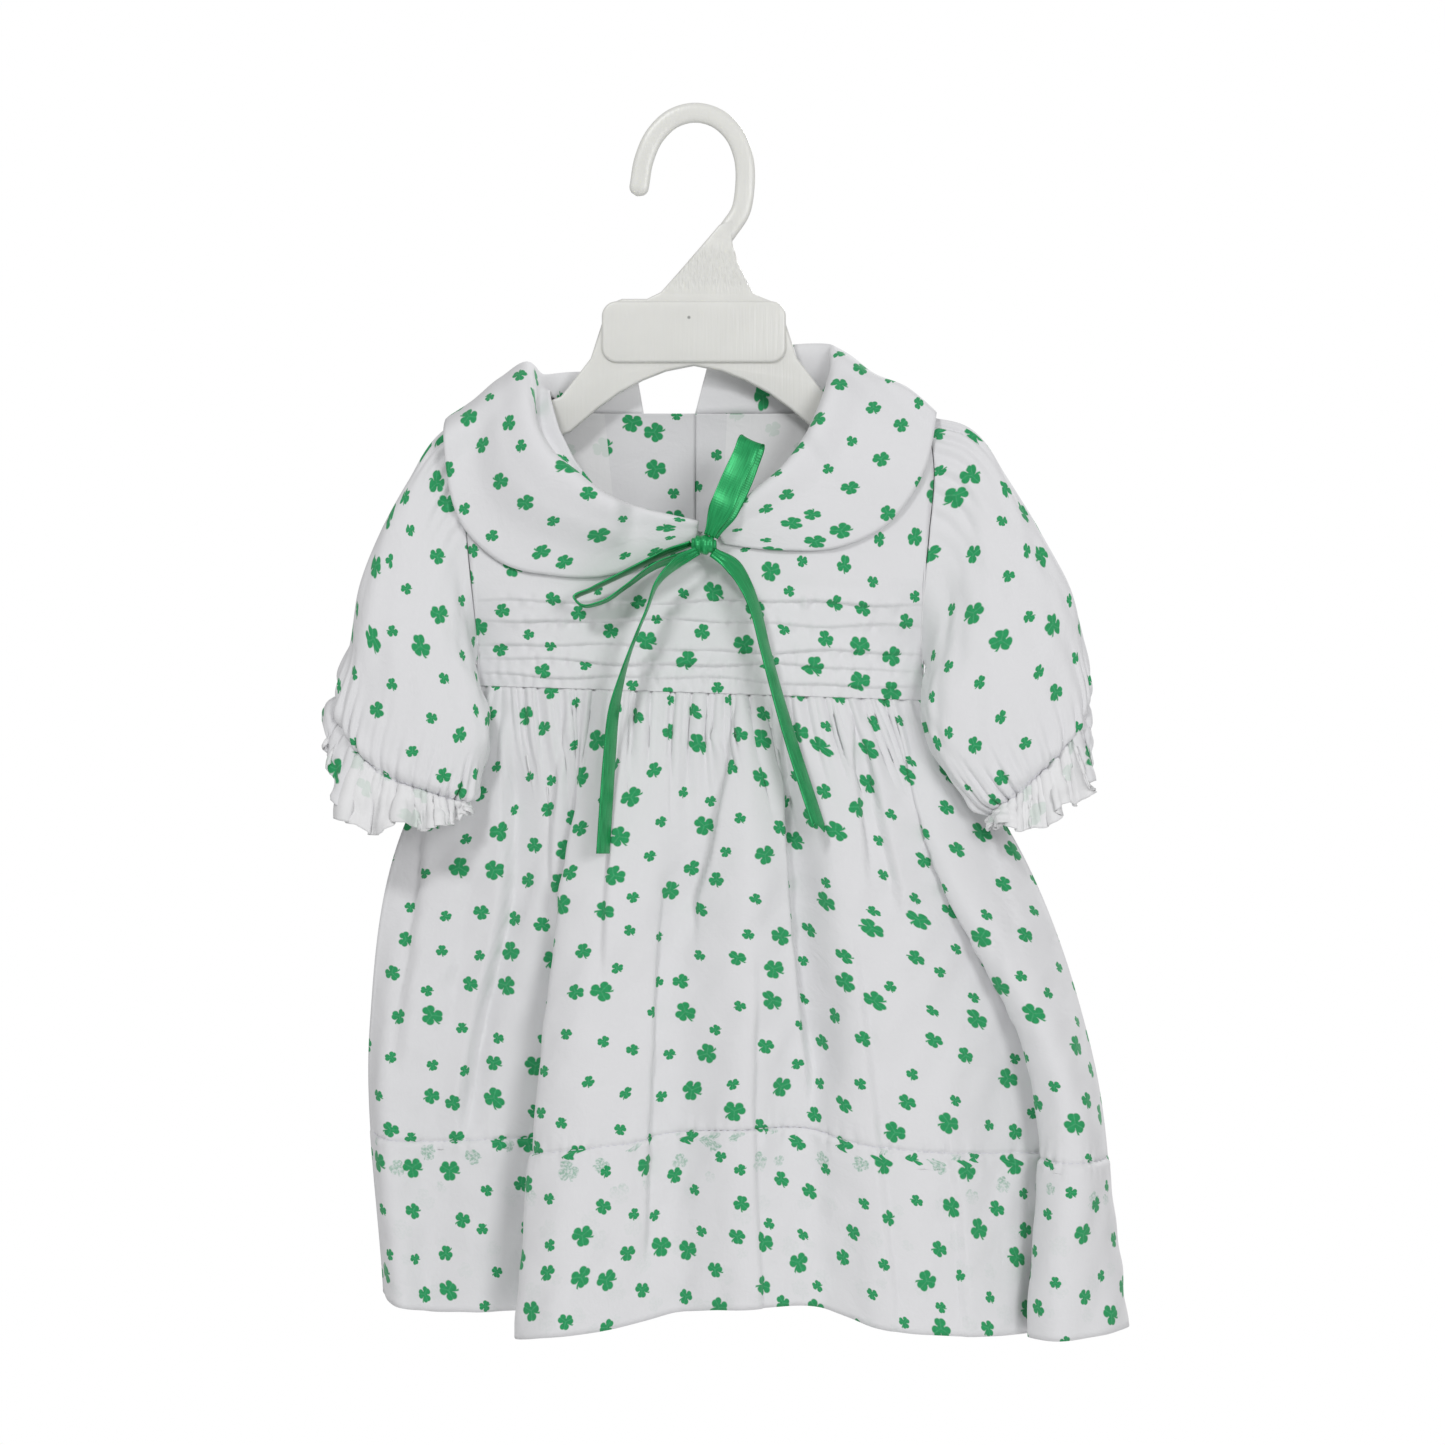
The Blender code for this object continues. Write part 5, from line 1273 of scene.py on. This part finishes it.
def makeStitchTree():
    tree = bpy.data.node_groups.new("runningStitches", "GeometryNodeTree")
    tree.interface.new_socket("Geometry", in_out="INPUT", socket_type="NodeSocketGeometry")
    for name in ("Pitch", "Stitch length", "Thread width", "Wobble"):
        tree.interface.new_socket(name, in_out="INPUT", socket_type="NodeSocketFloat")
    tree.interface.new_socket("Geometry", in_out="OUTPUT", socket_type="NodeSocketGeometry")
    given = addNode(tree, "NodeGroupInput")
    inputs = {"Curve": given.outputs["Geometry"], "Length": given.outputs["Pitch"]}
    points = addNode(tree, "GeometryNodeCurveToPoints", inputs, mode="LENGTH")
    thread = addNode(tree, "GeometryNodeMeshUVSphere", {"Segments": 6, "Rings": 5, "Radius": 0.5})
    dice = addNode(tree, "FunctionNodeRandomValue", {2: -1.0, 3: 1.0, "Seed": 4}, data_type="FLOAT")
    swing = maths(tree, "MULTIPLY", dice.outputs[1], given.outputs["Wobble"])
    tilt = addNode(tree, "ShaderNodeCombineXYZ", {"Z": swing})
    turned = addNode(
        tree, "FunctionNodeRotateRotation", [points.outputs["Rotation"], tilt], rotation_space="LOCAL")
    sizes = [given.outputs[name] for name in ("Thread width", "Thread width", "Stitch length")]
    size = addNode(tree, "ShaderNodeCombineXYZ", sizes)
    inputs = {"Points": points.outputs["Points"], "Instance": thread, "Rotation": turned, "Scale": size}
    laid = addNode(tree, "GeometryNodeInstanceOnPoints", inputs)
    real = addNode(tree, "GeometryNodeRealizeInstances", [laid])
    finished = addNode(tree, "GeometryNodeSetMaterial", {"Geometry": real, "Material": threadWithPaintedShade})
    addNode(tree, "NodeGroupOutput", [finished])
    return tree


stitchTree = makeStitchTree()


def stitch(name, lines, pitch, length, width, wobble=0.06):
    # lays stitches along lines of points and keeps them as a plain mesh
    sizes = {"Pitch": pitch * mm, "Stitch length": length * mm, "Thread width": width * mm, "Wobble": wobble}
    curve = bpy.data.curves.new(name, "CURVE")
    curve.dimensions = "3D"
    for points in lines:
        spline = curve.splines.new("POLY")
        spline.points.add(len(points) - 1)
        spline.points.foreach_set(
            "co", np.hstack([np.asarray(points) * mm, np.ones((len(points), 1))]).ravel())
    drawn = placed(name, curve)
    layer = drawn.modifiers.new("stitches", "NODES")
    layer.node_group = stitchTree
    for socket in stitchTree.interface.items_tree:
        if socket.in_out == "INPUT" and socket.name in sizes:
            layer[socket.identifier] = sizes[socket.name]
    mesh = bakedMesh(drawn)
    bpy.data.objects.remove(drawn)
    mesh.shade_smooth()
    piece = placed(name, mesh)
    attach(piece, "root")
    print(f"{name}: {len(mesh.polygons)} faces")


def hemRow(grid, down, flip):
    # a line across a panel along its hem stitching, just proud of the cloth
    raised = lifted(grid, np.full(grid.shape[:2], skirt["stitchLift"]), flip)
    levels = hemLevel(np.linspace(0, 1, grid.shape[1]))
    row = [[np.interp(level, down, raised[:, c, k]) for k in range(3)] for c, level in enumerate(levels)]
    return np.array(row)[3:-3]


hemLines = [hemRow(frontSkirt, frontDown, False), hemRow(backSkirt, backDown, True)]
stitch("hemStitches", hemLines, pitch=3.1, length=2.2, width=0.55)

cuffLines = []
for grid, flip in ((leftGrid, False), (rightGrid, True)):
    raised = lifted(grid, np.full(grid.shape[:2], sleeve["stitchLift"]), flip, closed=True)
    for shift in (-2, 1):
        row = raised[sleeve["rows"] - 1 + shift]
        cuffLines.append(np.vstack([row, row[:1]]))
stitch("cuffStitches", cuffLines, pitch=2.2, length=1.5, width=0.4)

# buttons at the back, with their buttonholes

buttons = {
    "x": -8.0,
    "heights": (-143.0, -180.0, -217.0),
    "standOff": 0.9,
    "hole": 0.55,
    "holeSpread": 1.05,
    "holeLength": 10.5,
    # flat under side, rounded rim, dished middle: distance from the axis and height
    "profile": (
        (3.2, 0.0), (4.1, 0.25), (4.5, 0.8), (4.45, 1.4),
        (4.1, 1.85), (3.6, 2.0), (3.1, 1.9), (2.6, 1.5), (2.0, 1.35),
    ),
}


def makeButton(number, z):
    # a turned button with four holes; gives the lines of its crossed thread
    y = float(bodyDepth(buttons["x"], z, body["backDepth"])) + body["placketShift"] + buttons["standOff"]
    turns = [2 * math.pi * i / 48 for i in range(48)]

    def spot(radius, angle, height):
        return Vector((buttons["x"] + radius * math.cos(angle), y + height, z + radius * math.sin(angle)))

    turned = bmesh.new()
    rings = [[spot(radius, angle, height) for angle in turns] for radius, height in buttons["profile"]]
    rings = joinRings(turned, rings)
    turned.faces.new(rings[0])
    turned.faces.new(rings[-1])
    piece = placed(f"button{number}", keptMesh(turned, bpy.data.meshes.new(f"button{number}")))
    drill = bmesh.new()
    holes = [spot(buttons["holeSpread"], math.pi / 4 + i * math.pi / 2, 1.0) for i in range(4)]
    size = {"radius1": buttons["hole"] * mm, "radius2": buttons["hole"] * mm, "depth": 4 * mm}
    for hole in holes:
        for vert in bmesh.ops.create_cone(drill, cap_ends=True, segments=14, **size)["verts"]:
            vert.co = Vector((vert.co.x, vert.co.z, vert.co.y)) + hole * mm
    mesh = worked(piece, "DIFFERENCE", placed("drill", keptMesh(drill, bpy.data.meshes.new("drill"))))
    mesh.materials.append(buttonPlastic)
    for face in mesh.polygons:
        face.use_smooth = abs(face.normal.y) < 0.98
    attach(piece, "root")
    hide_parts(f"button_{number}")
    crossed = []
    for a, b, high in ((holes[0], holes[2], 0.75), (holes[1], holes[3], 1.05)):
        rise = [-0.2 + high * math.sin(math.pi * i / 8) ** 0.5 for i in range(9)]
        crossed.append([mix(np.array(a), np.array(b), i / 8) + np.array([0, rise[i], 0]) for i in range(9)])
    return crossed


crossed = []
for number, z in enumerate(buttons["heights"], start=1):
    crossed += makeButton(number, z)
stitch("buttonThreads", crossed, pitch=0.28, length=0.6, width=0.55, wobble=0.3)


def onBack(x, z, raised):
    x, z = np.asarray(x, float), np.asarray(z, float)
    y = bodyDepth(x, z, body["backDepth"]) + body["placketShift"] * ramp(35.0, 5.0, x) + raised
    return np.stack([x, y, z], axis=-1)


buttonholes = []
for z in buttons["heights"]:
    half = buttons["holeLength"] / 2
    middleX = buttons["x"] + 1.0
    for rise in (-0.75, 0.75):
        for x in np.arange(-half, half + 0.01, 0.42):
            buttonholes.append(onBack(np.full(2, middleX + x), [z + rise - 0.55, z + rise + 0.55], 0.62))
    for end in (-half - 0.2, half + 0.2):
        for rise in np.arange(-1.1, 1.11, 0.4):
            buttonholes.append(onBack(middleX + end + np.array([-0.5, 0.5]), np.full(2, z + rise), 0.66))
stitch("buttonholeStitches", buttonholes, pitch=0.62, length=0.9, width=0.36, wobble=0.1)
placketZ = np.linspace(-127.0, -243.0, 60)
placketLines = [onBack(np.full(60, body["rightPlacketX"] + inset), placketZ, 0.56) for inset in (2.0, 26.0)]
stitch("placketStitches", placketLines, pitch=2.8, length=1.9, width=0.38)
print("buttons made")

# hanger: one white moulding, the hook rounded, the arms and plate flat with soft edges

hanger = {
    "thickness": 5.0,
    "edge": 1.1,
    "hookWidth": 8.4,
    "plateThickness": 8.4,
    "plateEdge": 1.3,
    "plateSize": (79.0, 26.4),
    "plateCentreZ": -90.4,
    "plateCorner": 6.5,
}
hookLine = [
    (-21.9, -28.0), (-19.8, -16.3), (-15.0, -5.6), (-6.9, 1.9), (2.2, 4.2), (11.2, 2.0),
    (18.7, -4.6), (22.8, -14.0), (23.6, -28.0), (21.6, -38.5), (16.4, -46.4),
]


def makeHook():
    # a flat-sided, round-edged bar swept along the hook, with a domed tip
    steps, around = 130, 40
    tail = [(11.0, -54.0), (6.8, -62.0)]
    line = evenPoints(np.array([(-22.7, -31.7)] + hookLine + tail, float), steps)
    ahead = unit(np.gradient(line, axis=0))
    side = np.stack([-ahead[:, 1], ahead[:, 0]], axis=1)
    angle = np.linspace(0, 2 * math.pi, around, endpoint=False)
    wide = squarer(np.cos(angle), 0.7) * hanger["hookWidth"] / 2
    deep = squarer(np.sin(angle), 0.6) * hanger["thickness"] / 2
    run = runLength(line)
    dome = np.sqrt(np.clip(1.0 - (1.0 - np.clip(run / 4.0, 0, 1)) ** 2, 0.01, 1.0))[:, None]
    x = line[:, :1] + side[:, :1] * wide * dome
    z = line[:, 1:] + side[:, 1:] * wide * dome
    grid = np.stack([x, np.broadcast_to(-deep, x.shape) * dome, z], axis=2)
    layout = np.stack(np.meshgrid(np.append(angle, 2 * math.pi) * 3.2, -run), axis=2)
    piece = gridPiece("hangerHook", grid, layout, flip=True, closed=True)
    bare = bmesh.new()
    bare.from_mesh(piece.data)
    bmesh.ops.holes_fill(bare, edges=[edge for edge in bare.edges if edge.is_boundary], sides=0)
    keptMesh(bare, piece.data)
    piece.data.shade_smooth()
    piece.data.materials.append(polystyrene)
    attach(piece, "root")
    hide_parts("hanger")


def moulding(name, outline, thickness, edge, smooth):
    # a flat outline in the upright plane, given a thickness and rounded edges
    curve = bpy.data.curves.new(name, "CURVE")
    curve.dimensions, curve.fill_mode = "2D", "BOTH"
    curve.extrude, curve.bevel_depth = (thickness / 2 - edge) * mm, edge * mm
    curve.bevel_resolution, curve.offset = smooth, -edge * mm
    line = curve.splines.new("POLY")
    line.points.add(len(outline) - 1)
    for point, (x, z) in zip(line.points, outline):
        point.co = (x * mm, z * mm, 0.0, 1.0)
    line.use_cyclic_u = True
    drawn = placed(name, curve)
    mesh = bakedMesh(drawn)
    bpy.data.objects.remove(drawn)
    welded = bmesh.new()
    welded.from_mesh(mesh)
    for vert in welded.verts:
        vert.co = Vector((vert.co.x, -vert.co.z, vert.co.y))
    bmesh.ops.remove_doubles(welded, verts=welded.verts, dist=1e-6)
    return placed(name, keptMesh(welded, mesh))


def roundedRectangle(width, height, centreX, centreZ, radius):
    outline = []
    for right, up, start in ((1, 1, 0), (-1, 1, 90), (-1, -1, 180), (1, -1, 270)):
        cornerX, cornerZ = centreX + right * (width / 2 - radius), centreZ + up * (height / 2 - radius)
        for angle in np.radians(start + 9.0 * np.arange(11)):
            outline.append((cornerX + radius * math.cos(angle), cornerZ + radius * math.sin(angle)))
    return outline


def makeHangerBody():
    plateCorner = [(30.8, -76.0), (35.0, -77.6), (37.6, -80.6), (39.0, -85.0)]
    half = plateCorner + [tuple(p) for p in armTop] + [(94.0, -131.5), (93.4, -136.2)] + armBottom
    right = [(hangerMiddle + x, z) for x, z in half]
    left = [(hangerMiddle - x, z) for x, z in reversed(half)]
    neckRight = [(20.2, -40.5), (18.2, -47.0), (18.3, -52.2), (20.9, -61.1), (27.3, -73.8)]
    neckLeft = [(-18.5, -76.0), (-12.5, -73.1), (-5.2, -64.9), (5.2, -52.9), (12.6, -44.2)]
    outline = neckRight + right + [(hangerMiddle, -104.6)] + left + neckLeft
    piece = moulding("hangerBody", outline, hanger["thickness"], hanger["edge"], 3)
    outline = roundedRectangle(
        *hanger["plateSize"], hangerMiddle, hanger["plateCentreZ"], hanger["plateCorner"])
    plate = moulding("plate", outline, hanger["plateThickness"], hanger["plateEdge"], 4)
    joined = worked(piece, "UNION", plate)
    joined.materials.append(polystyrene)
    joined.shade_smooth()
    joined.set_sharp_from_angle(angle=math.radians(38))
    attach(piece, "root")
    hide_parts("hanger")


makeHook()
makeHangerBody()
print("hanger made")

# floor, light and camera

studio = {
    "floorZ": -0.78,
    "floorReach": 0.8,
    "roomLight": 0.46,  # how brightly the white room lights the piece; it is seen at 1
    "lens": 85.0,
    "cameraPlace": (0.014, -1.467, -0.258),
}


def makeFloor():
    mesh = bpy.data.meshes.new("floor")
    disc = bmesh.new()
    bmesh.ops.create_circle(disc, cap_ends=True, segments=96, radius=studio["floorReach"])
    for vert in disc.verts:
        vert.co.z = studio["floorZ"]
    disc.to_mesh(mesh)
    disc.free()
    piece = placed("floor", mesh)
    material, tree, shader = newMaterial("white paper sweep", Roughness=0.9)
    setInputs(tree, shader, {"Base Color": blend(tree, noise(tree, None, 60.0), "f4f4f4", "fafafa")})
    mesh.materials.append(material)


def softLight(name, place, target, power, size):
    lamp = bpy.data.lights.new(name, "AREA")
    lamp.energy, lamp.shape, lamp.size = power, "DISK", size
    piece = placed(name, lamp)
    piece.location = place
    piece.rotation_euler = (Vector(target) - Vector(place)).to_track_quat("-Z", "Y").to_euler()


def makeStudio():
    makeFloor()
    world = bpy.data.worlds.new("studio")
    world.use_nodes = True
    tree = world.node_tree
    rays = addNode(tree, "ShaderNodeLightPath")
    strength = ranged(tree, rays.outputs["Is Camera Ray"], 0.0, 1.0, studio["roomLight"], 1.0)
    setInputs(tree, tree.nodes["Background"], [linear("ffffff"), strength])
    scene.world = world
    softLight("keyLight", (-0.5, -1.4, 0.8), (0.0, 0.0, -0.3), 9.5, 0.3)
    softLight("fillLight", (0.8, -1.5, 0.1), (0.0, 0.0, -0.25), 8.0, 0.6)
    softLight("backLight", (0.8, 1.2, 0.7), (0.0, 0.0, -0.3), 14.0, 0.5)
    scene.view_settings.view_transform = "Standard"
    lens = bpy.data.cameras.new("photoCamera")
    lens.lens, lens.sensor_width = studio["lens"], 36.0
    lens.clip_start, lens.clip_end = 0.05, 20.0
    camera = placed("photoCamera", lens)
    camera.location = studio["cameraPlace"]
    camera.rotation_euler = (math.radians(90), 0.0, 0.0)
    scene.camera = camera


makeStudio()
print("finished")
